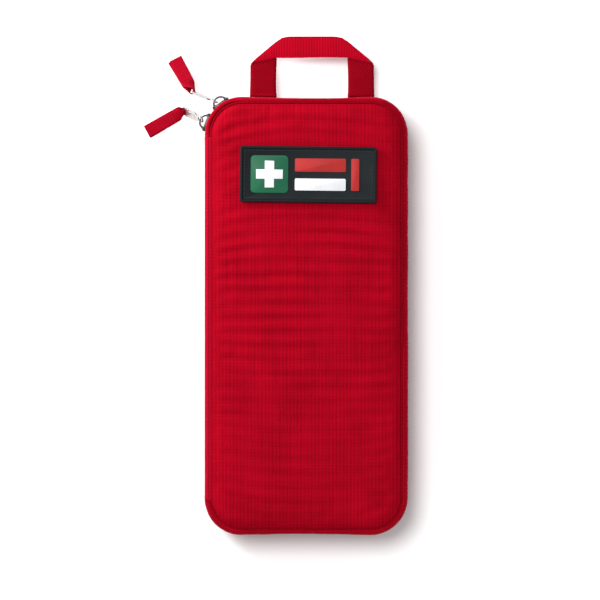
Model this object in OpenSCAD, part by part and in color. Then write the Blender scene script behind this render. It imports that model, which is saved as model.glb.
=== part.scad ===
// Soft zip-round first aid kit, lying on its back.
// Frame: origin at the centre of the back face, +X to the right, +Y towards the carry handle,
// +Z out of the front.

/* [Case] */
// Width of the closed case at the zip
case_w = 152; // [140:1:170]
// Height of the closed case at the zip
case_h = 328; // [310:2:360]
// Depth of the closed case, back face to front face
case_d = 60; // [58:1:66]
// Corner radius of the case at the zip
corner_r = 28; // [26:1:30]
// How far the sewn front and back panels stop short of the zip outline
edge_inset = 6; // [5:0.5:8]
// Thickness of a padded panel
panel_t = 5; // [4:0.5:6]
// Thickness of a stiffener board
board_t = 1.2; // [0.8:0.1:2]
// Thickness of a lining sheet
lining_t = 1.2; // [0.8:0.1:2]
// Radius of the piping cord along the panel seams
piping_r = 1.2; // [0.8:0.1:1.3]

/* [Spine] */
// Where the spine strip ends near the handle
spine_top = 129; // [120:1:131]
// Where the spine strip ends at the foot
spine_bottom = -134; // [-134:1:-120]
// Thickness of the spine strip
spine_t = 3; // [2:0.5:3]

/* [Zip] */
// Height of zip tape that shows on each side of the middle
tape_show = 7; // [6.5:0.5:8]
// Thickness of the zip tape
tape_t = 1; // [0.6:0.1:1.2]
// Width of one half of the zip coil
coil_w = 2.7; // [2:0.1:3]
// Height of the zip coil on its tape
coil_t = 1.6; // [1:0.1:1.8]
// Length of a slider
slider_len = 14; // [12:0.5:15]
// Width of a slider
slider_w = 10; // [9:0.5:10]
// Where the upper slider is parked round the corner, in degrees from +X
upper_slider_deg = 125; // [123:1:127]
// Where the lower slider is parked round the corner, in degrees from +X
lower_slider_deg = 161; // [160:1:164]
// Radius of the bridge that holds the puller, to the middle of its wire
bridge_r = 5.2; // [5:0.1:5.4]
// How deep the middle of the bridge's arc sits in the slider's face
bridge_sink = 1.2; // [1:0.1:1.4]
// Radius of the bridge wire
bridge_wire_r = 0.65; // [0.5:0.05:0.65]

/* [Pullers] */
// Length of the metal tongue
tongue_len = 22; // [20:0.5:23]
// Width of the metal tongue
tongue_w = 8; // [6.6:0.2:8]
// Thickness of the metal tongue
tongue_t = 1.1; // [0.8:0.1:1.1]
// Which way the upper tongue points, in degrees from +X
upper_tongue_dir = 157; // [153:1:159]
// Which way the lower tongue points, in degrees from +X
lower_tongue_dir = 153; // [150:1:156]
// Width of a fabric pull tab
tab_w = 10; // [8:1:12]
// Length of a fabric pull tab
tab_len = 28; // [20:1:30]
// Thickness of a folded pull tab
tab_t = 2.2; // [1.6:0.2:3]
// Which way the upper tab points, in degrees from +X
upper_tab_dir = 117; // [112:1:122]
// Which way the lower tab points, in degrees from +X
lower_tab_dir = 209; // [206:1:210]

/* [Handle] */
// Width of the handle webbing
webbing_w = 20; // [18:1:25]
// Thickness of the handle webbing
webbing_t = 2; // [1.2:0.2:2.2]
// Middle of the handle along the top of the case
handle_x = 4.4; // [0:0.2:8]
// Width of the handle over its two legs
handle_span = 93; // [80:1:96]
// How far the handle stands out of the case
handle_rise = 46; // [40:1:55]
// Width of the grip as it lies tilted
grip_w = 16; // [14:1:20]

/* [Patch] */
// Width of the rubber patch
patch_w = 102; // [80:1:110]
// Height of the rubber patch
patch_h = 42; // [36:1:50]
// Thickness of the rubber patch
patch_t = 2.2; // [1.6:0.2:3]
// Middle of the patch across the front
patch_x = 1.5; // [-5:0.5:5]
// Middle of the patch along the front
patch_y = 105.5; // [90:0.5:115]
// How far the patch is turned, clockwise negative
patch_turn = -0.6; // [-1:0.1:1]

/* [Contents] */
// Diameter of the two conforming bandages
roll_d = 32; // [26:1:34]
// Diameter of the crepe bandage
crepe_d = 34; // [28:1:34]
// Diameter of the roll of tape
tape_roll_d = 46; // [38:1:46]
// Length of the shears
shears_len = 140; // [120:5:145]

/* [Hidden] */
$fn = 64;

mid_z = case_d / 2;
panel_w = case_w - 2 * edge_inset;
panel_h = case_h - 2 * edge_inset;
panel_r = corner_r - edge_inset;
corner_x = panel_w / 2 - panel_r;
corner_y = panel_h / 2 - panel_r;
gusset_top = mid_z - tape_show;
wall_t = edge_inset / 2;
tape_u = wall_t;                       // inner face of the tape, measured out from the panel outline
floor_z = panel_t + board_t + lining_t;
ceiling_z = case_d - floor_z;
zip_gap = 0.3;                         // half of the space between the two coils
front_zip_from = upper_slider_deg - 18; // the front zip starts here, clear of the parked sliders
fit = 0.5;                             // room between neighbouring bodies
red = [0.78, 0.04, 0.12];
dark_red = [0.62, 0.03, 0.09];
gunmetal = [0.25, 0.26, 0.27];
nickel = [0.78, 0.78, 0.76];
black = [0.05, 0.06, 0.07];
white = [0.93, 0.93, 0.93];
green = [0.05, 0.38, 0.22];
steel = [0.7, 0.71, 0.72];

// ---- shapes shared by several pieces ----

// Flat plate with round corners, centred on the frame's Z axis.
module plate(w, h, r, t) {
    linear_extrude(t) {
        square([w - 2 * r, h], center = true);
        square([w, h - 2 * r], center = true);
        for (x = [-1, 1], y = [-1, 1])
            translate([x * (w / 2 - r), y * (h / 2 - r)]) circle(r);
    }
}

module box_at(centre, size) {
    translate([centre.x - size.x / 2, centre.y - size.y / 2, centre.z]) cube(size);
}

// Turns a back piece into its twin on the front.
module to_front() {
    translate([0, 0, case_d]) mirror([0, 0, 1]) children();
}

// Straight wall along +X whose profile faces +Y. The profile's x is outwards and its y is height.
module side(length) {
    rotate([90, 0, 90]) linear_extrude(length) children();
}

// Round wall on one corner of the panel outline, from polar angle a0 over a degrees.
module corner(sx, sy, a0, a) {
    translate([sx * corner_x, sy * corner_y, 0])
        rotate([0, 0, a0]) rotate_extrude(angle = a) translate([panel_r, 0]) children();
}

// The wall or tape that runs round three sides, from one end of the spine to the other.
// from_deg is where it starts on the top left corner; 180 takes in the stretch down to the spine.
module zip_run(from_deg = 180) {
    if (from_deg >= 180)
        translate([-panel_w / 2, spine_top, 0]) rotate(90) side(corner_y - spine_top) children();
    corner(-1, 1, 90, from_deg - 90) children();
    translate([-corner_x, panel_h / 2, 0]) side(2 * corner_x) children();
    corner(1, 1, 0, 90) children();
    translate([panel_w / 2, corner_y, 0]) rotate(-90) side(2 * corner_y) children();
    corner(1, -1, 270, 90) children();
    translate([corner_x, -panel_h / 2, 0]) rotate(180) side(2 * corner_x) children();
    corner(-1, -1, 180, 90) children();
    translate([-panel_w / 2, -corner_y, 0]) rotate(90) side(corner_y + spine_bottom) children();
}

// ---- case, back and front halves ----

module panel() {
    color(red) plate(panel_w, panel_h, panel_r, panel_t);
}

// Piping cord on the seam all round a panel.
module piping() {
    color(dark_red) {
        for (turn = [0, 180]) rotate(turn) {
            translate([-corner_x, panel_h / 2, 0]) side(2 * corner_x) piping_profile();
            translate([panel_w / 2, corner_y, 0]) rotate(-90) side(2 * corner_y) piping_profile();
            corner(1, 1, 0, 90) piping_profile();
            corner(-1, 1, 90, 90) piping_profile();
        }
    }
}

module piping_profile() {
    translate([1.25 * piping_r, panel_t - piping_r / 2]) circle(piping_r);
}

module board() {
    inset = 8;
    color("ivory") translate([0, 0, panel_t])
        plate(panel_w - inset, panel_h - inset, panel_r - inset / 2, board_t);
}

module lining() {
    inset = 8;
    color([0.13, 0.13, 0.14]) translate([0, 0, panel_t + board_t])
        plate(panel_w - inset, panel_h - inset, panel_r - inset / 2, lining_t);
}

// Side wall that bulges from the panel seam out to the zip outline.
module gusset_profile() {
    polygon([
        [0, panel_t], [wall_t, panel_t + 2], [edge_inset - 1, panel_t + 6],
        [edge_inset, panel_t + 11], [edge_inset, gusset_top],
        [wall_t, gusset_top], [wall_t, panel_t + 11], [wall_t - 1, panel_t + 6.5],
        [0, panel_t + 4], [-wall_t, panel_t + 3], [-wall_t, panel_t]
    ]);
}

module gusset() {
    color(red) zip_run() gusset_profile();
}

module tape_profile() {
    translate([tape_u, gusset_top]) square([tape_t, tape_show - zip_gap]);
}

module coil_profile() {
    translate([tape_u + tape_t, mid_z - zip_gap - coil_w]) square([coil_t, coil_w]);
}

module zip_tape_back() {
    color(dark_red) zip_run() tape_profile();
}

module zip_coil_back() {
    color(dark_red) zip_run() coil_profile();
}

module zip_tape_front() {
    color(dark_red) to_front() zip_run(front_zip_from) tape_profile();
}

module zip_coil_front() {
    color(dark_red) to_front() zip_run(front_zip_from) coil_profile();
}

// Crimped metal stops on the back tape at the two ends of the zip.
module zip_end_stops() {
    stop = [1, 2, 3];
    x = -panel_w / 2 - tape_u;
    color(nickel) {
        translate([x, spine_top, mid_z - 4]) cube(stop);
        translate([x, spine_bottom - stop.y, mid_z - 4]) cube(stop);
    }
}

// ---- spine ----

spine_x = -case_w / 2;
fold_inset = 3;                        // height of the lower fold line, and depth of the upper one

module spine_panel() {
    color(red) difference() {
        translate([spine_x, spine_bottom + fit, fold_inset + 1])
            cube([spine_t, spine_top - spine_bottom - 2 * fit, case_d - 2 * fold_inset - 2]);
        spine_core();
    }
}

module spine_core() {
    margin = 6;
    translate([spine_x + 1, spine_bottom + margin, fold_inset + margin])
        cube([1, spine_top - spine_bottom - 2 * margin, case_d - 2 * fold_inset - 2 * margin]);
}

module spine_stiffener() {
    color("ivory") spine_core();
}

// ---- handle ----

handle_z = 16;                         // height of the webbing's middle, and of its fold line
handle_root = case_h / 2 + 1;

module handle_webbing() {
    left = handle_x - handle_span / 2;
    right = handle_x + handle_span / 2;
    top = case_h / 2 + handle_rise;
    shoulder = top - webbing_w;
    slant = 1.2 * webbing_w;
    color(red) translate([0, 0, handle_z - webbing_t / 2]) linear_extrude(webbing_t) polygon([
        [left, handle_root], [left, shoulder], [left + slant, top],
        [right - slant, top], [right, shoulder], [right, handle_root],
        [right - webbing_w, handle_root], [right - webbing_w, top - grip_w],
        [left + webbing_w, top - grip_w], [left + webbing_w, handle_root]
    ]);
}

// Ends of the webbing, sewn flat on the outside of the back gusset below the fold line.
module handle_anchors() {
    low = panel_t + 6;
    high = handle_z - webbing_t / 2 - fit;
    lean = (high - low) / 5;
    t = 0.7;
    color(dark_red) for (turn = [-1, 1])
        translate([handle_x + turn * (handle_span - webbing_w) / 2 - webbing_w / 2, panel_h / 2, 0])
            side(webbing_w) polygon([
                [edge_inset - 1, low], [edge_inset - 1 + lean, high],
                [edge_inset - 1 + lean + t, high], [edge_inset - 1 + t, low]
            ]);
}

// ---- zip sliders ----

slider_base = corner_r + 0.02;         // underside of the outer plate, out from the corner's centre
plate_t = 1.3;
slider_top = slider_base + plate_t;
lip_t = 1.4;
lip_h = 1.7;

module at_slider(deg) {
    translate([-corner_x, corner_y, mid_z]) rotate([0, 0, deg - 90]) children();
}

// Outer plate with the two lips that run along the edges of the coil.
module slider_body(deg) {
    color(gunmetal) at_slider(deg) {
        translate([-slider_len / 2, slider_base, -slider_w / 2]) cube([slider_len, plate_t, slider_w]);
        for (z = [-slider_w / 2, slider_w / 2 - lip_t])
            translate([-slider_len / 2, slider_base - lip_h, z]) cube([slider_len, lip_h, lip_t]);
    }
}

// Middle of the bridge's arc, which is also the line that the puller swings about.
module at_bridge(deg) {
    at_slider(deg) translate([0, slider_top - bridge_sink, 0]) children();
}

module slider_bridge(deg) {
    room = 2 * bridge_r + 4;
    color(gunmetal) at_bridge(deg) difference() {
        rotate_extrude(angle = 180) translate([bridge_r, 0]) circle(bridge_wire_r);
        translate([-room / 2, bridge_sink - room, -room / 2]) cube(room);
    }
}

// ---- pullers and tabs ----

eye_r = 1.9;
eye_rim = 1.1;
hole_s = bridge_r + 0.3;               // hole in the tongue, out from the middle of the bridge
tongue_end = hole_s - eye_r - eye_rim + tongue_len;
bar_w = 1.4;
bar_s = tongue_end - bar_w / 2;        // bar at the far end, which the tab goes round
slot = [2.2, 4.4];
upper_droop = 15;
upper_twist = 80;
upper_tab_droop = 31;
lower_droop = 40;
lower_twist = -50;
lower_tab_droop = 15;

// Places a piece whose +X runs out along a puller that hangs on its bridge.
module at_puller(deg, dir, droop, twist) {
    at_bridge(deg) rotate([0, 0, dir - deg + 90]) translate([bridge_r, 0, 0])
        rotate([0, droop, 0]) translate([-bridge_r, 0, 0]) rotate([twist, 0, 0]) children();
}

module puller_tongue(deg, dir, droop, twist) {
    neck_w = 2 * (eye_r + eye_rim) - 0.4;
    plate_s = hole_s + eye_r + 1.4;
    color(nickel) at_puller(deg, dir, droop, twist) translate([0, 0, -tongue_t / 2]) difference() {
        union() {
            translate([hole_s, 0, 0]) cylinder(h = tongue_t, r = eye_r + eye_rim);
            translate([hole_s, -neck_w / 2, 0]) cube([plate_s - hole_s + 1, neck_w, tongue_t]);
            translate([plate_s, -tongue_w / 2, 0]) cube([tongue_end - plate_s, tongue_w, tongue_t]);
        }
        translate([hole_s, 0, -1]) cylinder(h = tongue_t + 2, r = eye_r);
        translate([bar_s - bar_w / 2 - slot.x, -slot.y / 2, -1]) cube([slot.x, slot.y, tongue_t + 2]);
    }
}

function bridge_centre(deg) = [
    -corner_x + (slider_top - bridge_sink) * cos(deg),
    corner_y + (slider_top - bridge_sink) * sin(deg),
    mid_z
];
function bar_at(deg, dir, droop) = bridge_centre(deg)
    + (bridge_r + (bar_s - bridge_r) * cos(droop)) * [cos(dir), sin(dir), 0]
    - (bar_s - bridge_r) * sin(droop) * [0, 0, 1];

// Folded fabric tab: an eye round the tongue's bar, a neck and a flat strip.
module pull_tab(deg, dir, droop, twist, tab_dir, tab_droop) {
    eye_w = 4;
    neck_from = 1.5;
    strip_from = 5;
    color(red) {
        at_puller(deg, dir, droop, twist) translate([bar_s, 0, 0]) rotate([90, 0, 0])
            difference() {
                cylinder(h = eye_w, r = 1.9, center = true);
                cylinder(h = eye_w + 1, r = 1.05, center = true);
            }
        translate(bar_at(deg, dir, droop)) rotate([0, tab_droop, tab_dir]) {
            translate([neck_from, 0, 0]) rotate([0, 90, 0])
                cylinder(h = strip_from - neck_from, r = 1);
            translate([strip_from, -tab_w / 2, -tab_t / 2]) cube([tab_len, tab_w, tab_t]);
        }
    }
}

// ---- patch ----

patch_z = case_d + 0.8;                // top of the sewn loop field
hook_t = 0.8;
rim_h = 0.6;                           // height of the raised rim

module on_patch(z) {
    translate([patch_x, patch_y, z]) rotate([0, 0, patch_turn]) children();
}

module patch_base() {
    rim = 2.2;
    color(black) on_patch(patch_z + hook_t) {
        plate(patch_w, patch_h, 2, patch_t - rim_h);
        translate([0, 0, patch_t - rim_h]) difference() {
            plate(patch_w, patch_h, 2, rim_h);
            translate([0, 0, -1]) plate(patch_w - 2 * rim, patch_h - 2 * rim, 1, rim_h + 2);
        }
    }
}

field = 28;                            // side of the green field
field_x = -patch_w / 2 + 8 + field / 2;
bars_x = field_x + field / 2 + 5;      // left end of the plain bars
bars_w = 38;
relief = 0.5;
relief_z = patch_z + hook_t + patch_t - rim_h;

module patch_green_field() {
    color(green) on_patch(relief_z) translate([field_x, 0, 0]) plate(field, field, 3, relief);
}

module patch_white_cross() {
    arm = 7;
    span = 20;
    color(white) on_patch(relief_z + relief) translate([field_x, 0, 0]) linear_extrude(relief) {
        square([span, arm], center = true);
        square([arm, span], center = true);
    }
}

module patch_white_bar() {
    color(white) on_patch(relief_z) translate([bars_x, -12, 0]) cube([bars_w, 9, relief]);
}

module patch_red_bars() {
    color(red) on_patch(relief_z) {
        translate([bars_x, 2, 0]) cube([bars_w, 10, relief]);
        translate([bars_x + bars_w + 4, -12, 0]) cube([6, 24, relief]);
    }
}

// ---- inside of the back half ----

lift = 0.2;                            // contents lie this far off the lining

module compartment_dividers() {
    divider = [124, 4, 18];
    color([0.13, 0.13, 0.14]) for (y = [54, -52]) box_at([0, y, floor_z], divider);
}

// Elastic straps over the pack stack, standing on their own ends.
module elastic_straps() {
    strap_w = 20;
    reach = 61;
    top = 36;
    color(black) for (y = [22, -24]) translate([0, y + strap_w / 2, 0]) rotate([90, 0, 0])
        linear_extrude(strap_w) polygon([
            [-reach, floor_z], [-reach, top - 4], [-reach + 6, top], [reach - 6, top],
            [reach, top - 4], [reach, floor_z], [reach - 1, floor_z], [reach - 1, top - 4.5],
            [reach - 6.4, top - 1], [-reach + 6.4, top - 1], [-reach + 1, top - 4.5],
            [-reach + 1, floor_z]
        ]);
}

module roll(centre, d, length) {
    translate([centre.x - length / 2, centre.y, floor_z + lift + d / 2])
        rotate([0, 90, 0]) cylinder(h = length, d = d);
}

module saline_ampoules() {
    size = [9.6, 46, 9.6];
    color([0.8, 0.88, 0.92]) for (x = [44, 55], level = [0, 1])
        box_at([x, 88, floor_z + lift + level * (size.z + lift)], size);
}

module tape_roll() {
    width = 24;
    translate([33, -126, floor_z + lift]) color(white) difference() {
        cylinder(h = width, d = tape_roll_d);
        translate([0, 0, -1]) cylinder(h = width + 2, d = 24);
    }
}

// ---- inside of the front half ----

pocket = [122, 136];                   // width and height of the mesh pocket
pocket_y = -81;
pocket_z = 43.5;                       // inner face of the pocket
pocket_t = 0.8;

// Mesh sheet with its three sewn side walls; the mouth faces the handle.
module mesh_pocket() {
    wall = 1.2;
    color([0.16, 0.16, 0.17]) translate([0, pocket_y, 0]) {
        box_at([0, 0, pocket_z], [pocket.x, pocket.y, pocket_t]);
        box_at([0, -pocket.y / 2 + wall / 2, pocket_z + pocket_t],
               [pocket.x, wall, ceiling_z - pocket_z - pocket_t]);
        for (x = [-1, 1])
            box_at([x * (pocket.x - wall) / 2, wall / 2, pocket_z + pocket_t],
                   [wall, pocket.y - wall, ceiling_z - pocket_z - pocket_t]);
    }
}

module pocket_binding() {
    color(red) box_at([0, pocket_y + pocket.y / 2 + 1, pocket_z - 0.5], [pocket.x, 2, 2]);
}

module first_aid_booklet() {
    color([0.85, 0.87, 0.85]) box_at([4, pocket_y - 2, ceiling_z - 3], [96, 124, 2.8]);
}

module face_shield_pouch() {
    color([0.75, 0.2, 0.2]) box_at([40, 20, ceiling_z - 6], [44, 54, 5.8]);
}

// One elastic loop sewn to the front lining.
module loop_band(centre, inside, width) {
    t = 1;
    translate([centre.x, centre.y + width / 2, 0]) rotate([90, 0, 0]) linear_extrude(width)
        difference() {
            translate([-inside.x / 2 - t, ceiling_z - inside.y - t])
                square([inside.x + 2 * t, inside.y + t]);
            translate([-inside.x / 2, ceiling_z - inside.y]) square([inside.x, inside.y + 1]);
        }
}

shears_x = -34;
pivot_y = 84;                          // shears pivot along the case
shears_z = 46.2;                       // underside of the moving half
blade_t = 2.4;
rivet_r = 2;
shank = 0.32 * shears_len;             // pivot to the start of a finger ring
blade = 0.42 * shears_len;
ring_r = 15;

// Elastic loops sewn to the front lining: one on the shears' fixed shank, two on the tweezers.
module tool_loops() {
    color(black) {
        loop_band([shears_x - 6.5, pivot_y - 34], [11.4, 4.1], 10);
        for (y = [75, 115]) loop_band([48, y], [12, 6.4], 10);
    }
}

module tweezers() {
    arm = [1.2, 84, 4];
    color(steel) translate([48, 95, ceiling_z - 5.2]) {
        for (x = [-1, 1]) translate([x * 3, 0, 0]) box_at([0, 0, 0], arm);
        box_at([0, arm.y / 2 - 2, 0], [4.8, 4, arm.z]);
    }
}

// One half of the shears: blade on one side of the pivot, shank and finger ring on the other.
// hand is 1 for a ring on the +X side and -1 for the other one.
module shears_half(hand) {
    ring_at = [hand * 16, 4 - shank - ring_r, 0];
    difference() {
        union() {
            cylinder(h = blade_t, r = 7);
            linear_extrude(blade_t) polygon([
                [-6, -2], [6, -2], [5, blade * 0.4], [1, blade], [-1, blade], [-5, blade * 0.4]
            ]);
            linear_extrude(blade_t) polygon([
                [-hand * 5, 3], [hand * 5, 3], [hand * 13, -shank - 3], [hand * 5, -shank - 3]
            ]);
            translate(ring_at) cylinder(h = blade_t, r = ring_r);
        }
        translate(ring_at - [0, 0, 1]) cylinder(h = blade_t + 2, r = ring_r - 4.5);
        translate([0, 0, -1]) cylinder(h = blade_t + 2, r = rivet_r + 0.05);
    }
}

module at_shears(z) {
    translate([shears_x, pivot_y, z]) children();
}

module shears_rivet() {
    head = 0.8;
    color(nickel) at_shears(shears_z - head) {
        cylinder(h = head, r = 3.4);
        cylinder(h = 2 * blade_t + head + 0.3, r = rivet_r);
    }
}

// ---- the nodes ----

panel();  // back_panel
piping();  // back_piping
board();  // back_board
lining();  // back_lining
gusset();  // back_gusset
zip_tape_back();
zip_coil_back();
zip_end_stops();
handle_anchors();
compartment_dividers();
elastic_straps();
color(white) roll([-31, 131], roll_d, 54);  // conforming_bandage_left
color(white) roll([31, 131], roll_d, 54);  // conforming_bandage_right
color([0.86, 0.76, 0.62]) roll([-13, 88], crepe_d, 92);  // crepe_bandage
saline_ampoules();
color(white) box_at([0, 1, floor_z + lift], [112, 92, 9]);  // wound_dressing_pack
color([0.8, 0.85, 0.9]) box_at([-2, 2, floor_z + 9.4], [100, 76, 8.6]);  // triangular_bandage_pack
color([0.35, 0.5, 0.75]) box_at([2, 0, floor_z + 18.2], [94, 80, 7]);  // glove_pack
color([0.75, 0.76, 0.78]) box_at([-32, -93, floor_z + lift], [54, 70, 22]);  // foil_blanket_pack
color([0.9, 0.8, 0.65]) box_at([33, -79, floor_z + lift], [54, 42, 26]);  // plaster_box
tape_roll();
color(white) box_at([-32, -93, floor_z + 22.4], [48, 62, 6]);  // antiseptic_wipes
spine_panel();
spine_stiffener();
to_front() panel();  // front_panel
to_front() piping();  // front_piping
to_front() board();  // front_board
to_front() lining();  // front_lining
to_front() gusset();  // front_gusset
zip_tape_front();
zip_coil_front();
color([0.5, 0.03, 0.08]) on_patch(case_d) plate(patch_w - 3, patch_h - 3, 1.5, patch_z - case_d);  // patch_loop_field
mesh_pocket();
pocket_binding();
first_aid_booklet();
face_shield_pouch();
tool_loops();
tweezers();
color(steel) at_shears(shears_z + blade_t + 0.1) shears_half(-1);  // shears_fixed_half
shears_rivet();
color(steel) at_shears(shears_z) shears_half(1);  // shears_moving_half
color(black) on_patch(patch_z) plate(patch_w - 3, patch_h - 3, 1.5, hook_t);  // patch_hook_backing
patch_base();
patch_green_field();
patch_white_cross();
patch_white_bar();
patch_red_bars();
handle_webbing();
slider_body(upper_slider_deg);  // upper_slider_body
slider_bridge(upper_slider_deg);  // upper_slider_bridge
puller_tongue(upper_slider_deg, upper_tongue_dir, upper_droop, upper_twist);  // upper_puller_tongue
pull_tab(upper_slider_deg, upper_tongue_dir, upper_droop, upper_twist, upper_tab_dir,  // upper_pull_tab
             upper_tab_droop);
slider_body(lower_slider_deg);  // lower_slider_body
slider_bridge(lower_slider_deg);  // lower_slider_bridge
puller_tongue(lower_slider_deg, lower_tongue_dir, lower_droop, lower_twist);  // lower_puller_tongue
pull_tab(lower_slider_deg, lower_tongue_dir, lower_droop, lower_twist, lower_tab_dir,  // lower_pull_tab
             lower_tab_droop);
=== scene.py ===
"""Looks of a soft zip-round first aid kit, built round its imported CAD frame.

Shapes are worked out in millimetres and turned into metres when their mesh is made.
"""
import math

import bmesh
import bpy
import numpy as np
from mathutils import Matrix, Vector, noise


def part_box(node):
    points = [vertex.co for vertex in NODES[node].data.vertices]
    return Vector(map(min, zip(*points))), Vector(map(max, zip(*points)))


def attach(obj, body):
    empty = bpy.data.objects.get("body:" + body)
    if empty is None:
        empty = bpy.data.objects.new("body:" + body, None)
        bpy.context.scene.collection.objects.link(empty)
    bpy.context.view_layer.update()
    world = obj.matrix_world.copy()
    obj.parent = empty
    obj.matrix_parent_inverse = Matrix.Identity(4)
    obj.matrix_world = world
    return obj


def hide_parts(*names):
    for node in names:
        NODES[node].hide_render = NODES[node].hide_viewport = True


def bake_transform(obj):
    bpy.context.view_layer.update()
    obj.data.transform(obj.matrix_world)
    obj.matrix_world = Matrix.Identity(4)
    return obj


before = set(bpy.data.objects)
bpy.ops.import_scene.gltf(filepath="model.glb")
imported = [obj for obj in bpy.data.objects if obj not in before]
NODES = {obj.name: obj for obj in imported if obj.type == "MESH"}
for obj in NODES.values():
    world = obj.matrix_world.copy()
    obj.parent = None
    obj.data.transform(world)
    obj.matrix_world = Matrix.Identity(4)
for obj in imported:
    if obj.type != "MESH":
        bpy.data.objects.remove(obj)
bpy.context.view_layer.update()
SCENE = bpy.context.scene
MM = 0.001
TURN = 2 * math.pi


def mm_box(node):
    """Lowest and highest corner of a CAD node, in mm."""
    return tuple(np.array(corner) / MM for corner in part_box(node))


# ---- sizes read from the frame ----

PANEL_LO, PANEL_HI = mm_box("front_panel")
PANEL_W, PANEL_H = PANEL_HI[0] - PANEL_LO[0], PANEL_HI[1] - PANEL_LO[1]
CASE_D = PANEL_HI[2]
PANEL_T = CASE_D - PANEL_LO[2]
PANEL_R = 22.0
CORNER_X, CORNER_Y = PANEL_W / 2 - PANEL_R, PANEL_H / 2 - PANEL_R
MID_Z = CASE_D / 2
BULGE = mm_box("back_gusset")[1][0] - PANEL_W / 2
SPINE_LO, SPINE_HI = mm_box("spine_panel")
FLOOR_Z = mm_box("back_lining")[1][2]
CEILING_Z = CASE_D - FLOOR_Z


def level(depth, front):
    """Height of a point that lies this deep under the outer face of its half of the case."""
    return CASE_D - depth if front else depth


# ---- mesh helpers ----


def smooth_noise(x, y, z=0.0):
    """Seedless Perlin noise from -1 to 1."""
    return noise.noise(Vector((x, y, z)))


def step01(x, a, b):
    """0 below a, 1 above b, with a smooth rise between them."""
    t = min(1.0, max(0.0, (x - a) / (b - a)))
    return t * t * (3 - 2 * t)


def circle(n):
    """n angles of one whole turn."""
    return np.linspace(0, TURN, n, endpoint=False)


def link(name, mesh):
    obj = bpy.data.objects.new(name, mesh)
    SCENE.collection.objects.link(obj)
    return obj


def tidy_mesh(mesh, smooth, merge=0.0):
    """Turns every face outwards, after welding points nearer than merge metres."""
    bm = bmesh.new()
    bm.from_mesh(mesh)
    if merge:
        bmesh.ops.remove_doubles(bm, verts=bm.verts, dist=merge)
    bmesh.ops.recalc_face_normals(bm, faces=bm.faces)
    bm.to_mesh(mesh)
    bm.free()
    mesh.polygons.foreach_set("use_smooth", [smooth] * len(mesh.polygons))


def make(name, verts, faces, mat, uv=None, smooth=True):
    """Mesh object from points in mm. uv holds one (u, v) in metres for every face corner."""
    mesh = bpy.data.meshes.new(name)
    mesh.from_pydata((np.asarray(verts, float) * MM).tolist(), [], [list(map(int, f)) for f in faces])
    if uv is not None:
        layer = mesh.uv_layers.new(name="UVMap")
        layer.data.foreach_set("uv", np.asarray(uv, np.float32).ravel())
    mesh.materials.append(mat)
    tidy_mesh(mesh, smooth)
    return link(name, mesh)


def loft(name, rings, mat, loop=False):
    """Skin over an (n, m, 3) array of closed rings, with UVs in metres along it and round it."""
    rings = np.asarray(rings, float)
    n, m = rings.shape[:2]
    ids = np.arange(n * m).reshape(n, m)
    centre = rings.mean(1)
    widths = np.linalg.norm(np.roll(rings, -1, axis=1) - rings, axis=2).mean(0)
    steps = np.linalg.norm(np.roll(centre, -1, 0) - centre, axis=1)
    u, v = (np.concatenate([[0], np.cumsum(d)]) * MM for d in (steps, widths))
    faces, uv = [], []
    for i in range(n if loop else n - 1):
        for j in range(m):
            a, b = (i + 1) % n, (j + 1) % m
            faces.append((ids[i, j], ids[a, j], ids[a, b], ids[i, b]))
            uv += [(u[i], v[j]), (u[i + 1], v[j]), (u[i + 1], v[j + 1]), (u[i], v[j + 1])]
    if not loop:
        faces += [tuple(ids[0][::-1]), tuple(ids[-1])]
        uv += [(u[0], x) for x in v[:-1][::-1]] + [(u[-2], x) for x in v[:-1]]
    return make(name, rings.reshape(-1, 3), faces, mat, uv)


def sandwich(name, top, low, mat, flat_uv=False):
    """Closed solid between two (n, m, 3) grids of points. flat_uv lays its UVs out in plan."""
    n, m = top.shape[:2]
    ids = np.arange(n * m).reshape(n, m)
    quads = np.stack([ids[:-1, :-1], ids[1:, :-1], ids[1:, 1:], ids[:-1, 1:]], 2).reshape(-1, 4)
    rim = [*ids[:, 0], *ids[-1, 1:], *ids[-2::-1, -1], *ids[0, -2:0:-1]]
    faces = quads.tolist() + (quads[:, ::-1] + n * m).tolist()
    faces += [(b, a, a + n * m, b + n * m) for a, b in zip(rim, rim[1:] + rim[:1])]
    verts = np.concatenate([top.reshape(-1, 3), low.reshape(-1, 3)])
    uv = verts[np.ravel(faces), :2] * MM if flat_uv else None
    return make(name, verts, faces, mat, uv)


def unit(rows):
    """Each row of an array at length 1."""
    return rows / np.maximum(np.linalg.norm(rows, axis=-1, keepdims=True), 1e-9)


def tube(name, points, radius, mat, sides=8, loop=False, flat=1.0):
    """Round or flattened tube along points."""
    p = np.asarray(points, float)
    t = unit((np.roll(p, -1, 0) - np.roll(p, 1, 0)) if loop else np.gradient(p, axis=0))
    side = unit(np.cross(t, (0.0, 0.0, 1.0)))
    top = np.cross(side, t)
    a = circle(sides)[None, :, None]
    r = np.broadcast_to(np.asarray(radius, float), (len(p),))[:, None, None]
    return loft(name, p[:, None] + r * np.cos(a) * side[:, None] + flat * r * np.sin(a) * top[:, None],
                mat, loop=loop)


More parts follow.
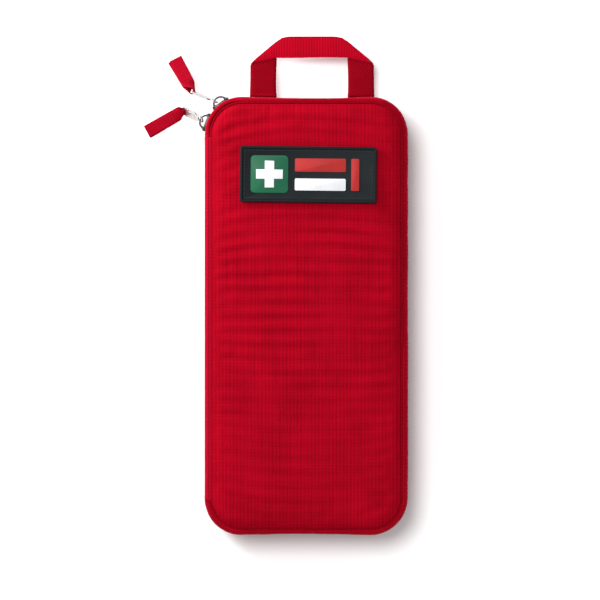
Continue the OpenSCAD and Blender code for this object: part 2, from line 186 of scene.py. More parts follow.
def ribbon(name, points, across, width, thick, mat, edge=0.35):
    """Flat strap along points. across is the width direction, edge the share that is rounded off."""
    p, a = np.asarray(points, float), unit(np.asarray(across, float))
    n = unit(np.cross(np.gradient(p, axis=0), a))
    w, h = (np.broadcast_to(np.asarray(x, float), (len(p),))[:, None] / 2 for x in (width, thick))
    shape = [(-1, 0), (-1 + edge / 6, 0.75), (-1 + edge / 2, 1), (-0.5, 1), (0, 1), (0.5, 1),
             (1 - edge / 2, 1), (1 - edge / 6, 0.75), (1, 0)]
    shape += [(x, -y) for x, y in shape[-2:0:-1]]
    return loft(name, np.stack([p + w * x * a + h * y * n for x, y in shape], axis=1), mat)


def rect_loop(w, h, r, k=6):
    """Rounded rectangle, anticlockwise, with k steps round each corner."""
    r = max(min(r, w / 2, h / 2), 0.02)
    out = []
    for sx, sy, a0 in ((1, -1, -90), (1, 1, 0), (-1, 1, 90), (-1, -1, 180)):
        for i in range(k + 1):
            a = math.radians(a0 + 90 * i / k)
            out.append((sx * (w / 2 - r) + r * math.cos(a), sy * (h / 2 - r) + r * math.sin(a)))
    return out


def plus(arm, span):
    """Outline of a plain cross with arms 2 * arm wide."""
    return [(arm, -span), (arm, -arm), (span, -arm), (span, arm), (arm, arm), (arm, span),
            (-arm, span), (-arm, arm), (-span, arm), (-span, -arm), (-arm, -arm), (-arm, -span)]


def inset_loop(points, d):
    """An outline moved inwards by d, with its corners mitred."""
    p = np.asarray(points, float)
    e = unit(np.roll(p, -1, 0) - p)
    normal = np.stack([-e[:, 1], e[:, 0]], 1)
    before = np.roll(normal, 1, 0)
    return p + d * (normal + before) / (1 + (normal * before).sum(1))[:, None]


def rot(deg, axis):
    return Matrix.Rotation(math.radians(deg), 4, axis)


def move(x, y, z=0.0):
    return Matrix.Translation((x, y, z))


def put(obj, place):
    """Moves a mesh by a matrix whose shift is in mm."""
    m = Matrix(place)
    m.translation = m.translation * MM
    obj.data.transform(m)
    return obj


def stacked(name, loops, place, mat):
    """Closed solid through flat loops: a list of (points, z), bottom first."""
    return put(loft(name, [[(x, y, z) for x, y in pts] for pts, z in loops], mat), place)


def slab(name, size, r, z0, z1, mat, place, bevel=0.3, layers=()):
    """Rounded plate with soft edges; layers are more (inset, z) loops on top."""
    inset = 0.3 * bevel
    profile = [(bevel, z0), (inset, z0 + inset), (0, z0 + bevel), (0, z1 - bevel), (inset, z1 - inset),
               (bevel, z1), *layers]
    loops = [(rect_loop(size[0] - 2 * i, size[1] - 2 * i, r - i), z) for i, z in profile]
    return stacked(name, loops, place, mat)


def join(name, objs):
    """One object out of several."""
    with bpy.context.temp_override(active_object=objs[0], selected_editable_objects=objs,
                                   selected_objects=objs):
        bpy.ops.object.join()
    objs[0].name = objs[0].data.name = name
    return objs[0]


def stitches(name, places, mat, length=2.2, r=0.22):
    """Row of sewing stitches. places holds (centre, direction, outward normal)."""
    shape = ((0.55, -0.25), (1, 0.35), (1, 0.5), (1, 0.35), (0.55, -0.25))
    n = len(shape)
    verts, faces = [], []
    for c, d, up in places:
        c, d, up = np.array(c, float), unit(np.array(d, float)), unit(np.array(up, float))
        side = np.cross(d, up)
        base = len(verts)
        for k, (thick, rise) in enumerate(shape):
            mid = c + d * length * (k / (n - 1) - 0.5) + up * rise * r
            verts += [mid + r * thick * (math.cos(a) * side + math.sin(a) * up) for a in circle(n)]
        faces += [(base + n * k + q, base + n * k + n + q, base + n * k + n + (q + 1) % n,
                   base + n * k + (q + 1) % n) for k in range(n - 1) for q in range(n)]
        faces += [tuple(range(end, end + n)) for end in (base, base + n * (n - 1))]
    return make(name, verts, faces, mat)


def stitch_line(a, b, normal, pitch=3.0):
    """Stitch places from a to b."""
    a, b = np.array(a, float), np.array(b, float)
    n = max(1, int(np.linalg.norm(b - a) / pitch))
    return [(a + (b - a) * (i + 0.5) / n, b - a, normal) for i in range(n)]


def rounded_path(points, r, step):
    """Polyline with its corners rounded, cut into pieces of about 3 steps at most."""
    p = [np.array(q, float) for q in points]
    out = [p[0]]
    for a, b, c in zip(p, p[1:], p[2:]):
        d1, d2 = a - b, c - b
        k = min(r, np.linalg.norm(d1) * 0.45, np.linalg.norm(d2) * 0.45)
        s, e = b + unit(d1) * k, b + unit(d2) * k
        out += [(1 - t) ** 2 * s + 2 * t * (1 - t) * b + t * t * e for t in np.linspace(0, 1, 7)]
    out.append(p[-1])
    fine = []
    for a, b in zip(out, out[1:]):
        n = max(1, int(np.linalg.norm(b - a) / step / 3))
        fine += [a + (b - a) * i / n for i in range(n)]
    return fine + [out[-1]]


def paint(node, mat):
    """Gives a CAD node a material."""
    NODES[node].data.materials.clear()
    NODES[node].data.materials.append(mat)


def finish_piece(nodes=()):
    """Hides the CAD nodes that a piece stands in for."""
    if nodes:
        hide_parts(*([nodes] if isinstance(nodes, str) else nodes))


def dress(obj, body, nodes=()):
    """Puts a finished piece on its body, in place of its CAD nodes."""
    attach(obj, body)
    finish_piece(nodes)
    return obj


def eased(name, node, body, mat, width, segments=2):
    """A piece with the shape of a CAD node and rounded edges, in place of that node."""
    mesh = NODES[node].data.copy()
    mesh.materials.clear()
    mesh.materials.append(mat)
    mesh.polygons.foreach_set("use_smooth", [True] * len(mesh.polygons))
    mesh.polygons.foreach_set("material_index", [0] * len(mesh.polygons))
    obj = link(name, mesh)
    obj.modifiers.new("Weld", "WELD").merge_threshold = 2e-6
    bevel = obj.modifiers.new("Bevel", "BEVEL")
    bevel.width, bevel.segments, bevel.limit_method = width * MM, segments, "ANGLE"
    bevel.angle_limit = math.radians(35)
    bevel.harden_normals = True
    return dress(obj, body, node)


# ---- materials ----


class Shader:
    """A Principled material and short calls for its nodes."""

    def __init__(self, name, **fixed):
        self.mat = bpy.data.materials.new(name)
        self.mat.use_nodes = True
        self.tree = self.mat.node_tree
        self.bsdf = self.tree.nodes["Principled BSDF"]
        for key, value in fixed.items():
            self.bsdf.inputs[key.replace("_", " ")].default_value = value

    def plug(self, value, socket):
        if isinstance(value, bpy.types.NodeSocket):
            self.tree.links.new(value, socket)
        else:
            socket.default_value = value

    def add(self, kind, ins, out=0, **settings):
        node = self.tree.nodes.new("ShaderNode" + kind)
        for key, value in settings.items():
            setattr(node, key, value)
        for key, value in ins.items():
            self.plug(value, node.inputs[key])
        return node.outputs[out]

    def math(self, op, a, b=0.0):
        return self.add("Math", {0: a, 1: b}, operation=op)

    def total(self, *terms):
        """Weighted sum of (value, weight) pairs."""
        parts = [self.math("MULTIPLY", value, weight) for value, weight in terms]
        out = parts[0]
        for part in parts[1:]:
            out = self.math("ADD", out, part)
        return out

    def wave(self, run, drift, step):
        """Ribs from 0 to 1 that repeat every step along run, swayed by drift."""
        angle = self.math("MULTIPLY", self.math("ADD", run, drift), TURN / step)
        return self.ramp(self.math("SINE", angle), -1, 1)

    def coords(self, kind):
        return self.add("TexCoord", {}, out=kind)

    def axes(self, vector):
        """The x, y and z sockets of a vector."""
        return self.add("SeparateXYZ", {0: vector}).node.outputs

    def stretch(self, vector, scale):
        return self.add("Mapping", {"Vector": vector, "Scale": scale})

    def noise(self, vector, scale, detail=2.0):
        return self.add("TexNoise", {"Vector": vector, "Scale": scale, "Detail": detail})

    def ramp(self, value, low, high, a=0.0, b=1.0):
        return self.add("MapRange", {"Value": value, 1: low, 2: high, 3: a, 4: b})

    def blend(self, factor, a, b):
        """From colour a to colour b."""
        a, b = (x if isinstance(x, bpy.types.NodeSocket) else (*x, 1.0) for x in (a, b))
        return self.add("Mix", {0: factor, 6: a, 7: b}, out=2, data_type="RGBA")

    def mix(self, factor, a, b):
        """From value a to value b."""
        return self.add("Mix", {0: factor, 2: a, 3: b}, data_type="FLOAT")

    def bump(self, height, distance, strength):
        return self.add("Bump", {"Height": height, "Distance": distance, "Strength": strength})

    def weave(self, vec, pitch):
        """Height of a one-over-one weave of that thread pitch, from 0 to 1."""
        x, y = self.axes(vec)[:2]
        over_x, over_y = (self.math("ABSOLUTE", self.math("SINE", self.math("MULTIPLY", c, math.pi / pitch)))
                          for c in (x, y))
        even = self.add("TexChecker", {"Vector": self.add("CombineXYZ", {0: x, 1: y}), "Scale": 1 / pitch},
                        out=1)
        return self.mix(even, over_x, over_y)

    def set(self, **links):
        for key, value in links.items():
            self.plug(value, self.bsdf.inputs[key.replace("_", " ")])
        return self.mat


RED_SHEEN, GREY_SHEEN, WHITE_SHEEN = (1.0, 0.03, 0.12), (0.5, 0.5, 0.55), (1, 1, 1)


def cloth(name, light, dark, source="UV", pitch=0.0007, rough=0.72, sheen=0.25, grid=0.00265,
          strength=0.6, contrast=1.0, tint=RED_SHEEN):
    """Woven polyester: fine weave, heavier threads on a wider grid, streaks and slow colour changes."""
    s = Shader(name, Roughness=rough, Sheen_Weight=sheen, Sheen_Roughness=0.45,
               Sheen_Tint=(*tint, 1.0), Specular_IOR_Level=0.02)
    vec = s.coords(source)
    weave = s.weave(vec, pitch)
    warp = s.noise(s.stretch(vec, (1 / 0.0011, 1 / 0.06, 1 / 0.06)), 1.0, 3.0)
    weft = s.noise(s.stretch(vec, (1 / 0.05, 1 / 0.0012, 1 / 0.05)), 1.0, 3.0)
    drift = s.math("MULTIPLY", s.noise(vec, 120.0, 1.0), 0.0012)
    ribs = [s.math("POWER", s.wave(s.axes(vec)[axis], drift, step), 2.2)
            for axis, step in ((0, grid), (1, grid * 0.93))]
    slow = s.noise(vec, 38.0, 3.0)
    tone = s.total((warp, 0.36 * contrast), (weft, 0.22 * contrast), (ribs[0], 0.16 * contrast),
                   (ribs[1], 0.04 * contrast), (slow, 0.35), (weave, 0.16))
    height = s.total((weave, 0.6), (ribs[0], 0.35), (ribs[1], 0.3), (s.math("ADD", warp, weft), 0.45))
    fuzz = s.ramp(s.noise(vec, 900.0, 2.0), 0.3, 0.7, rough - 0.08, rough + 0.1)
    return s.set(Base_Color=s.blend(s.ramp(tone, 0.42, 0.9), dark, light), Roughness=fuzz,
                 Normal=s.bump(height, 0.00016, strength))


def ribbed(name, light, dark, axis=0, step=0.002, sheen=0.25, twill=False, depth=0.00022, tint=RED_SHEEN):
    """Webbing, tape or elastic: ribs across the strap, or diagonal twill on its back."""
    rough = 0.7
    s = Shader(name, Roughness=rough, Sheen_Weight=sheen, Sheen_Tint=(*tint, 1.0), Specular_IOR_Level=0.02)
    vec = s.coords("UV")
    u, v, _ = s.axes(vec)
    run = s.math("ADD", u, s.math("MULTIPLY", v, 0.8)) if twill else (u, v)[axis]
    rib = s.wave(run, s.math("MULTIPLY", s.noise(vec, 160.0, 2.0), 0.0006), step)
    fine = s.weave(vec, 0.0008)
    patchy = s.noise(vec, 60.0, 3.0)
    thread = s.noise(s.stretch(vec, (1 / 0.0009, 1 / 0.02, 1)), 1.0, 2.0)
    tone = s.total((rib, 0.38), (patchy, 0.4), (thread, 0.35), (fine, 0.14))
    return s.set(Base_Color=s.blend(s.ramp(tone, 0.3, 1.0), dark, light),
                 Normal=s.bump(s.total((rib, 1.0), (fine, 0.4)), depth, 0.7),
                 Roughness=s.ramp(patchy, 0.3, 0.7, rough - 0.06, rough + 0.1))


def solid(name, light, dark, rough=0.5, scale=180.0, bump=0.00008, metal=0.0, coat=0.0,
          grain=(1, 1, 1), **fixed):
    """Moulded, printed or foil surface with slow colour change, fine grain and worn patches."""
    s = Shader(name, Roughness=rough, Metallic=metal, Coat_Weight=coat, Coat_Roughness=0.2, **fixed)
    vec = s.stretch(s.coords("Object"), grain)
    fine, slow = s.noise(vec, scale * 6, 3.0), s.noise(vec, scale * 0.4, 3.0)
    tone = s.total((fine, 0.45), (slow, 0.55))
    return s.set(Base_Color=s.blend(s.ramp(tone, 0.3, 0.7), dark, light), Normal=s.bump(fine, bump, 0.5),
                 Roughness=s.ramp(slow, 0.3, 0.7, max(rough - 0.1, 0.05), rough + 0.1))


def worn_metal(name, light, dark, rough):
    """Plated metal, lighter on its raised edges, with scratches that change its gloss."""
    s = Shader(name, Roughness=rough, Metallic=1.0)
    vec = s.coords("Object")
    scratch = s.noise(s.stretch(vec, (300, 2600, 900)), 1.0, 4.0)
    slow = s.noise(vec, 260.0, 2.0)
    edge = s.ramp(s.add("NewGeometry", {}, out="Pointiness"), 0.48, 0.56)
    colour = s.blend(s.ramp(s.total((scratch, 0.5), (slow, 0.5)), 0.3, 0.72), dark, light)
    colour = s.blend(s.math("MULTIPLY", edge, 0.45), colour, [min(1.0, c * 1.5) for c in light])
    return s.set(Base_Color=colour, Normal=s.bump(slow, 0.00001, 0.3),
                 Roughness=s.ramp(scratch, 0.3, 0.7, rough - 0.05, rough + 0.1))


RED, RED_DARK = (0.395, 0.0006, 0.0115), (0.193, 0.0002, 0.0045)
M = {
    "panel": cloth("Ripstop_red", RED, RED_DARK, source="Object"),
    "gusset": cloth("Ripstop_red_wall", (0.37, 0.0006, 0.0105), (0.21, 0.0002, 0.0045), contrast=0.8),
    "spine": cloth("Ripstop_red_spine", (0.46, 0.004, 0.021), (0.31, 0.0015, 0.011), contrast=0.7),
    # The piping's darker red is partly painted shade, to darken the groove it lies in between panel and
    # wall.
    "piping": cloth("Piping_red_painted_shade", (0.33, 0.0006, 0.009), (0.17, 0.0002, 0.004), contrast=0.6),
    "tape": ribbed("Zip_tape_red", (0.27, 0.0008, 0.008), (0.15, 0.0003, 0.004), axis=1, step=0.0011,
                   depth=0.0001),
    "coil": solid("Coil_red", (0.32, 0.002, 0.014), (0.18, 0.001, 0.007), rough=0.4, bump=0.00002,
                  Specular_IOR_Level=0.3),
    "webbing": ribbed("Webbing_red", (0.45, 0.001, 0.014), (0.22, 0.0004, 0.006), step=0.00205),
    # The reverse webbing's twill is real; its darker colour is painted shade, where the legs and roots tilt
    # away from the light.
    "webbing_back_painted_shade": ribbed("Webbing_red_reverse_painted_shade", (0.26, 0.0006, 0.008), (0.145, 0.0002, 0.0035),
                           step=0.0024, twill=True, sheen=0.1),
    "tab": cloth("Tab_red", (0.31, 0.001, 0.011), (0.15, 0.0004, 0.005), contrast=1.1, pitch=0.0006,
                 grid=0.0019),
    "thread": solid("Thread_red", (0.26, 0.003, 0.014), (0.15, 0.001, 0.006), rough=0.6, bump=0.00003,
                    Specular_IOR_Level=0.2),
    "thread_black": solid("Thread_black", (0.02, 0.022, 0.025), (0.008, 0.009, 0.01), rough=0.6),
    "card": solid("Board_card", (0.5, 0.47, 0.4), (0.4, 0.37, 0.3), rough=0.75),
    "lining": cloth("Lining_charcoal", (0.034, 0.035, 0.038), (0.017, 0.018, 0.02), pitch=0.0006,
                    grid=0.005, tint=(0.6, 0.6, 0.65), sheen=0.15, contrast=0.45, strength=0.35),
    "elastic": ribbed("Elastic_black", (0.03, 0.03, 0.033), (0.009, 0.009, 0.01), axis=1, step=0.0016,
                      tint=GREY_SHEEN, sheen=0.15),
    "mesh": solid("Mesh_charcoal", (0.05, 0.052, 0.057), (0.022, 0.023, 0.026), rough=0.6),
    "loop": cloth("Loop_pile_red", (0.2, 0.001, 0.008), (0.08, 0.0004, 0.003), pitch=0.0012, strength=0.9),
    "hook": cloth("Hook_black", (0.02, 0.02, 0.022), (0.004, 0.004, 0.005), pitch=0.0014, strength=0.9,
                  tint=(0.5, 0.5, 0.5), sheen=0.1),
    "rubber": solid("Patch_rubber", (0.006, 0.0095, 0.012), (0.0025, 0.0045, 0.006), rough=0.55,
                    scale=120, bump=0.00006, Specular_IOR_Level=0.1),
    "green": solid("Patch_green", (0.008, 0.11, 0.05), (0.006, 0.08, 0.036), rough=0.55,
                   Specular_IOR_Level=0.2),
    "white": solid("Patch_white", (0.72, 0.73, 0.75), (0.6, 0.61, 0.64)),
    "red": solid("Patch_red", (0.4, 0.022, 0.02), (0.31, 0.013, 0.013), rough=0.55,
                 Specular_IOR_Level=0.2),
    "gunmetal": worn_metal("Gunmetal", (0.045, 0.048, 0.052), (0.012, 0.013, 0.015), rough=0.36),
    "nickel": worn_metal("Nickel", (0.46, 0.46, 0.45), (0.33, 0.33, 0.325), rough=0.3),
    "steel": worn_metal("Steel", (0.4, 0.41, 0.42), (0.26, 0.27, 0.28), rough=0.3),
    "gauze": cloth("Gauze_white", (0.62, 0.61, 0.58), (0.4, 0.39, 0.37), pitch=0.0011, strength=1.0,
                   tint=WHITE_SHEEN, grid=0.0044, sheen=0.1),
    "crepe": cloth("Crepe_tan", (0.5, 0.37, 0.25), (0.28, 0.2, 0.13), pitch=0.0013, strength=1.0,
                   tint=(1, 0.9, 0.8), grid=0.0031, sheen=0.1),
    "tape_white": ribbed("Tape_white", (0.62, 0.6, 0.56), (0.44, 0.42, 0.38), axis=1, step=0.00085,
                         depth=0.00012, tint=WHITE_SHEEN, sheen=0.1),
    "paper": solid("Paper_white", (0.6, 0.61, 0.62), (0.5, 0.51, 0.53), rough=0.6, bump=0.00005),
    "pouch": solid("Pouch_blue", (0.09, 0.19, 0.42), (0.05, 0.12, 0.3), rough=0.35, coat=0.2),
    "foil": solid("Foil_silver", (0.7, 0.7, 0.72), (0.42, 0.43, 0.46), rough=0.22, metal=1.0,
                  bump=0.0003, scale=60),
    "tan": solid("Card_tan", (0.47, 0.34, 0.2), (0.36, 0.25, 0.14), rough=0.7),
    "clear": solid("Ampoule_plastic", (0.55, 0.64, 0.7), (0.42, 0.53, 0.6), rough=0.2, bump=0.00001,
                   Transmission_Weight=0.35),
    "pages": solid("Booklet_pages", (0.6, 0.59, 0.55), (0.46, 0.45, 0.41), rough=0.7, scale=400,
                   grain=(1, 1, 30)),
    "cover_green": solid("Booklet_cover", (0.02, 0.17, 0.08), (0.012, 0.12, 0.06), rough=0.45, coat=0.15),
}


# ---- the outline that every wall of the case follows ----


def arc(cx, cy, a0, a1, step):
    """Frames (x, y, outward normal) round a corner."""
    n = max(2, int(abs(math.radians(a1 - a0)) * PANEL_R / step))
    turns = [math.radians(a0 + (a1 - a0) * i / n) for i in range(n)]
    return [(cx + PANEL_R * math.cos(a), cy + PANEL_R * math.sin(a), math.cos(a), math.sin(a))
            for a in turns]


def line(x0, y0, x1, y1, nx, ny, step):
    """Frames along a straight side."""
    n = max(1, int(math.hypot(x1 - x0, y1 - y0) / step))
    return [(x0 + (x1 - x0) * i / n, y0 + (y1 - y0) * i / n, nx, ny) for i in range(n)]


ZIP_TOP, ZIP_FOOT = 129.0, -134.0


def most_of_outline(step, from_deg=180.0):
    """Frames clockwise from the top left corner to the end of the bottom left one."""
    cx, cy, w, h = CORNER_X, CORNER_Y, PANEL_W / 2, PANEL_H / 2
    return (arc(-cx, cy, from_deg, 90, step) + line(-cx, h, cx, h, 0, 1, step) + arc(cx, cy, 90, 0, step)
            + line(w, cy, w, -cy, 1, 0, step) + arc(cx, -cy, 0, -90, step)
            + line(cx, -h, -cx, -h, 0, -1, step) + arc(-cx, -cy, -90, -180, step))


def zip_run(step, from_deg=180.0):
    """The outline from the top of the spine round to its foot."""
    w, cy = PANEL_W / 2, CORNER_Y
    start = line(-w, ZIP_TOP, -w, cy, -1, 0, step) if from_deg >= 180 else []
    foot = line(-w, -cy, -w, ZIP_FOOT, -1, 0, min(step, 1.0)) + [(-w, ZIP_FOOT, -1, 0)]
    return np.array(start + most_of_outline(step, from_deg) + foot)


def closed_run(step):
    """The whole outline, closed."""
    w, cy = PANEL_W / 2, CORNER_Y
    return np.array(line(-w, -cy, -w, cy, -1, 0, step) + most_of_outline(step))


def lengths(run):
    return np.concatenate([[0], np.cumsum(np.hypot(*np.diff(run[:, :2], axis=0).T))])


def swept(name, run, profile, mat, front):
    """Wall along run. profile(frame, s) gives its (u, depth) points, u being the way out of the outline."""
    rings = [[(f[0] + u * f[2], f[1] + u * f[3], level(h, front)) for u, h in profile(f, s)]
             for f, s in zip(run, lengths(run))]
    return loft(name, rings, mat)


def round_corners(x, y, w, h, r):
    """Moves a point of a rectangle so that the rectangle gets round corners. w and h are half sizes."""
    p, q = (abs(x) - w + r) / r, (abs(y) - h + r) / r
    if p > 0 and q > 0:
        x = math.copysign(w - r + r * p * math.sqrt(1 - q * q / 2), x)
        y = math.copysign(h - r + r * q * math.sqrt(1 - p * p / 2), y)
    return x, y


# ---- padded panels ----

PATCH_LO, PATCH_HI = mm_box("patch_loop_field")
PATCH_X, PATCH_Y = (PATCH_LO[0] + PATCH_HI[0]) / 2, (PATCH_LO[1] + PATCH_HI[1]) / 2
PATCH_TURN = math.radians(-0.6)
PATCH_W, PATCH_H = 102.0, 42.0
PATCH_MARGIN = 1.5  # from the rubber's edge in to the sewn field
EDGE_H = 0.9  # a panel's height at its seam, over its flat inner face
SEAM = 0.3  # how far a panel runs past its outline, into the seam
SIM_CAP = 5.0
SIM_FRAMES = 20
CELL = 4.0
CELLS_X, CELLS_Y = round(PANEL_W / CELL), round(PANEL_H / CELL)


def edge_distance(x, y):
    """Distance inwards from the panel outline."""
    dx, dy = abs(x) - CORNER_X, abs(y) - CORNER_Y
    if dx > 0 and dy > 0:
        return PANEL_R - math.hypot(dx, dy)
    return min(PANEL_W / 2 - abs(x), PANEL_H / 2 - abs(y))


def panel_mesh():
    """Closed cushion on a regular grid that follows the round corners: points, faces and fixed points."""
    nx, ny = CELLS_X, CELLS_Y
    w, h, r = PANEL_W / 2 + SEAM, PANEL_H / 2 + SEAM, PANEL_R + SEAM
    top = np.zeros((nx + 1, ny + 1, 3))
    for i, j in np.ndindex(nx + 1, ny + 1):
        x, y = round_corners(-w + 2 * w * i / nx, -h + 2 * h * j / ny, w, h, r)
        d = max(0.0, edge_distance(x, y) + SEAM)
        top[i, j] = x, y, EDGE_H + 2.9 * (1 - math.exp(-d / 9))
    verts = top.reshape(-1, 3).tolist()
    ids = np.arange(len(verts)).reshape(nx + 1, ny + 1)
    low = ids.copy()
    for i in range(1, nx):
        for j in range(1, ny):
            low[i, j] = len(verts)
            x, y = top[i, j, :2]
            verts.append((x, y, EDGE_H * max(0.0, 1 - edge_distance(x, y) / 4)))
    faces = []
    for i, j in np.ndindex(nx, ny):
        faces.append((ids[i, j], ids[i + 1, j], ids[i + 1, j + 1], ids[i, j + 1]))
        faces.append((low[i, j], low[i, j + 1], low[i + 1, j + 1], low[i + 1, j]))
    free = set(ids[1:-1, 1:-1].ravel().tolist())
    return np.array(verts), faces, [k for k in range(len(verts)) if k not in free]


def blow_up(verts, faces, fixed):
    """Cloth simulation: the fabric over the padding fills out while its seam and its back stay put."""
    mesh = bpy.data.meshes.new("pad")
    mesh.from_pydata((verts * MM).tolist(), [], faces)
    obj = link("pad", mesh)
    obj.vertex_groups.new(name="fixed").add(fixed, 1.0, "REPLACE")
    modifier = obj.modifiers.new("Cloth", "CLOTH")
    s = modifier.settings
    s.vertex_group_mass = "fixed"
    s.quality, s.mass = 6, 0.08
    s.tension_stiffness = s.compression_stiffness = 12
    s.shear_stiffness, s.bending_stiffness = 6, 0.4
    s.shrink_min = -0.012
    s.use_pressure, s.uniform_pressure_force = True, 4.0
    s.effector_weights.gravity = 0
    modifier.point_cache.frame_start, modifier.point_cache.frame_end = 1, SIM_FRAMES
    for f in range(1, SIM_FRAMES + 1):
        SCENE.frame_set(f)
    evaluated = obj.evaluated_get(bpy.context.evaluated_depsgraph_get())
    out = np.array([v.co for v in evaluated.to_mesh().vertices], float) / MM
    evaluated.to_mesh_clear()
    bpy.data.objects.remove(obj)
    SCENE.frame_set(1)
    shift = out - verts
    far = np.linalg.norm(shift, axis=1)
    return verts + shift * np.minimum(1.0, SIM_CAP / np.maximum(far, 1e-9))[:, None]


def between(grid, at):
    """Catmull-Rom values of a grid at fractional rows."""
    padded = np.concatenate([2 * grid[:1] - grid[1:2], grid, 2 * grid[-1:] - grid[-2:-1]])
    k = np.minimum(at.astype(int), len(grid) - 2)
    t = (at - k)[:, None, None]
    a, b, c, d = (padded[k + i] for i in range(4))
    return b + 0.5 * t * (c - a + t * (2 * a - 5 * b + 4 * c - d + t * (3 * (b - c) + d - a)))


def fine_steps(n):
    """Fractional grid rows: close together at both edges."""
    edge = np.array([0, 0.1, 0.24, 0.42, 0.65, 0.95, 1.3, 1.65])
    return np.concatenate([edge, np.arange(2, n - 1.9, 0.5), (n - edge)[::-1]])


def finer(top):
    """The simulated grid on closer rows both ways."""
    rows = between(top, fine_steps(len(top) - 1))
    return between(rows.transpose(1, 0, 2), fine_steps(top.shape[1] - 1)).transpose(1, 0, 2)


def patch_distance(x, y):
    """Distance outwards from the sewn patch field, negative inside."""
    c, s = math.cos(-PATCH_TURN), math.sin(-PATCH_TURN)
    dx, dy = x - PATCH_X, y - PATCH_Y
    return max(abs(c * dx - s * dy) - PATCH_W / 2 + PATCH_MARGIN,
               abs(s * dx + c * dy) - PATCH_H / 2 + PATCH_MARGIN)


RIPPLE_PITCH, RIPPLE_SIZE = 10.65, 0.64


def ripples(x, y):
    """Slightly arched cross ripples of the front fabric, and slower folds."""
    bend = 0.0014 * (y + 5) / 90 * x * x
    phase = (y + bend + 1.6 * smooth_noise(x / 38, y / 30, 4.0)) / RIPPLE_PITCH
    size = (0.8 + 0.9 * smooth_noise(x / 55, y / 20, 9.0)) * (0.45 + 0.55 * step01(y, -75, -25))
    cross = max(0.15, size) * RIPPLE_SIZE * math.sin(TURN * phase)
    folds = 0.55 * smooth_noise(x / 42, y / 55, 2.0) + 0.3 * smooth_noise(x / 16, y / 34, 7.0)
    corner = math.hypot(abs(x + 4) - 20, y - 92)
    folds += 0.5 * step01(y, 96, 120) * math.sin(corner / 3.1 + 1.5 * smooth_noise(x / 20, y / 20, 3.0))
    return cross, folds


def padded_height(x, y, h, front):
    """Height of a panel over its inner face: crown, ripples, puckered seam, flat seat of the patch."""
    d = max(0.0, edge_distance(x, y) + SEAM)
    rise = 3.4
    limit = PANEL_T + (1.2 * step01(y, 75, 20) * step01(d, 8, 45) if front else 0.0)
    shoulder = rise * (1 - max(0.0, 1 - d / 8.5) ** 2.1)
    full = EDGE_H + shoulder + (limit - EDGE_H - rise) * (1 - math.exp(-d / 13))
    z = 0.3 * min(h, limit) + 0.7 * full
    z = EDGE_H + (z - EDGE_H) * step01(d, -1.5, 3)
    body = step01(d, 1.0, 12)
    cross, folds = ripples(x, y)
    pucker = 0.3 * smooth_noise(x / 6 + 9, y / 6, 3.0) * step01(d, 0.3, 2.5) * step01(-d, -16, -6)
    if front:
        z += body * (cross + 0.5 * folds) + pucker
        seat = step01(-patch_distance(x, y), -7.0, -0.4)
        return max(z * (1 - seat) + (PANEL_T - 0.04) * seat, EDGE_H)
    return PANEL_T if d > 16 else min(max(z + pucker + 0.25 * body * folds, EDGE_H), PANEL_T)


PAD_V, PAD_F, PAD_FIXED = panel_mesh()
PAD_V = blow_up(PAD_V, PAD_F, PAD_FIXED)
PAD_TOP = finer(PAD_V[:(CELLS_X + 1) * (CELLS_Y + 1)].reshape(CELLS_X + 1, -1, 3))


def panel(half, front, body):
    top, low = PAD_TOP.copy(), PAD_TOP * (0.995, 0.995, 0.0)
    for i, j in np.ndindex(top.shape[:2]):
        x, y = top[i, j, :2]
        top[i, j, 2] = padded_height(*top[i, j], front)
        if front and x < 0:  # the seam beside the spine stands a little proud
            top[i, j] += np.array((-0.6, 0, 0.5)) * step01(-x, 67, 70.2) * step01(-abs(y), -150, -132)
    for grid in (top, low):
        grid[:, :, 2] = CASE_D - PANEL_T + grid[:, :, 2] if front else PANEL_T - grid[:, :, 2]
    obj = sandwich(half + "_cushion", top, low, M["panel"])
    dress(obj, body, half + "_panel")


def both_halves(build):
    """Builds the front's piece and then the back's."""
    build("front", True, "cover")
    build("back", False, "base")


both_halves(panel)


# ---- walls, piping, zip ----

TAPE_U, TAPE_T = 3.0, 1.0
FRONT_ZIP_START = 106.5  # degrees round the corner, just past the upper slider


def wall_wave(x, y, front):
    """Small wrinkles of a wall: one broad, one tight."""
    seed = 1.0 if front else 21.0
    return (0.32 * smooth_noise(x / 26, y / 26, seed) + 0.16 * smooth_noise(x / 7, y / 7, seed + 5),
            0.30 * smooth_noise(x / 11, y / 11, seed + 9))


def at_sliders(x, y):
    """1 where the sliders are parked, 0 away from there."""
    return step01(-x, 44, 56) * step01(y, 132, 142)


def gusset_profile(front):
    """Section of a side wall: piped edge, bulging side, edge turned in under the zip tape."""
    def profile(f, s):
        x, y, nx, ny = f
        wave, fine = wall_wave(x, y, front)
        dip = 1.7 * math.exp(-((x - 4) / 32) ** 2) * max(0.0, ny) ** 4
        dip += 1.1 * math.exp(-(x / 36) ** 2) * max(0.0, -ny) ** 4
        full = 0.1 + 0.9 * step01(y, -18, -27) if front and nx > 0.5 else 1.0
        gap = at_sliders(x, y) if front else 0.0
        out = BULGE - dip + wave
        crest = 5.6 - 1.7 * full + 1.6 * gap - fine
        outer = [
            (1.0, 6.4 + 1.5 * gap), (1.5 + 1.1 * gap, 5.2 + 2.2 * gap), (1.9 + 1.1 * gap, crest + 0.35),
            (2.9 + 0.6 * gap, crest), (4.3, crest + 0.35), (out - 0.75, 7.2 - full), (out - 0.2, 9.2),
            (out, 12.0), (out + 0.25 * wave, 15.5), (out - 0.1, 19.0), (out - 0.1, 21.4),
            (out - 0.35, 22.4), (out - 1.0, 22.9),
        ]
        inner = [
            (3.3, 22.9), (3.15, 22.0), (out - 1.3, 19.0), (out - 1.2, 15.5), (out - 1.25, 12.0),
            (out - 1.5, 9.8), (3.2, 8.6), (2.0, 7.6), (0.4, 7.0), (-2.9, 6.6), (-3.0, 6.0), (-2.9, 5.5),
            (0.0, 5.6),
        ]
        return outer + inner
    return profile


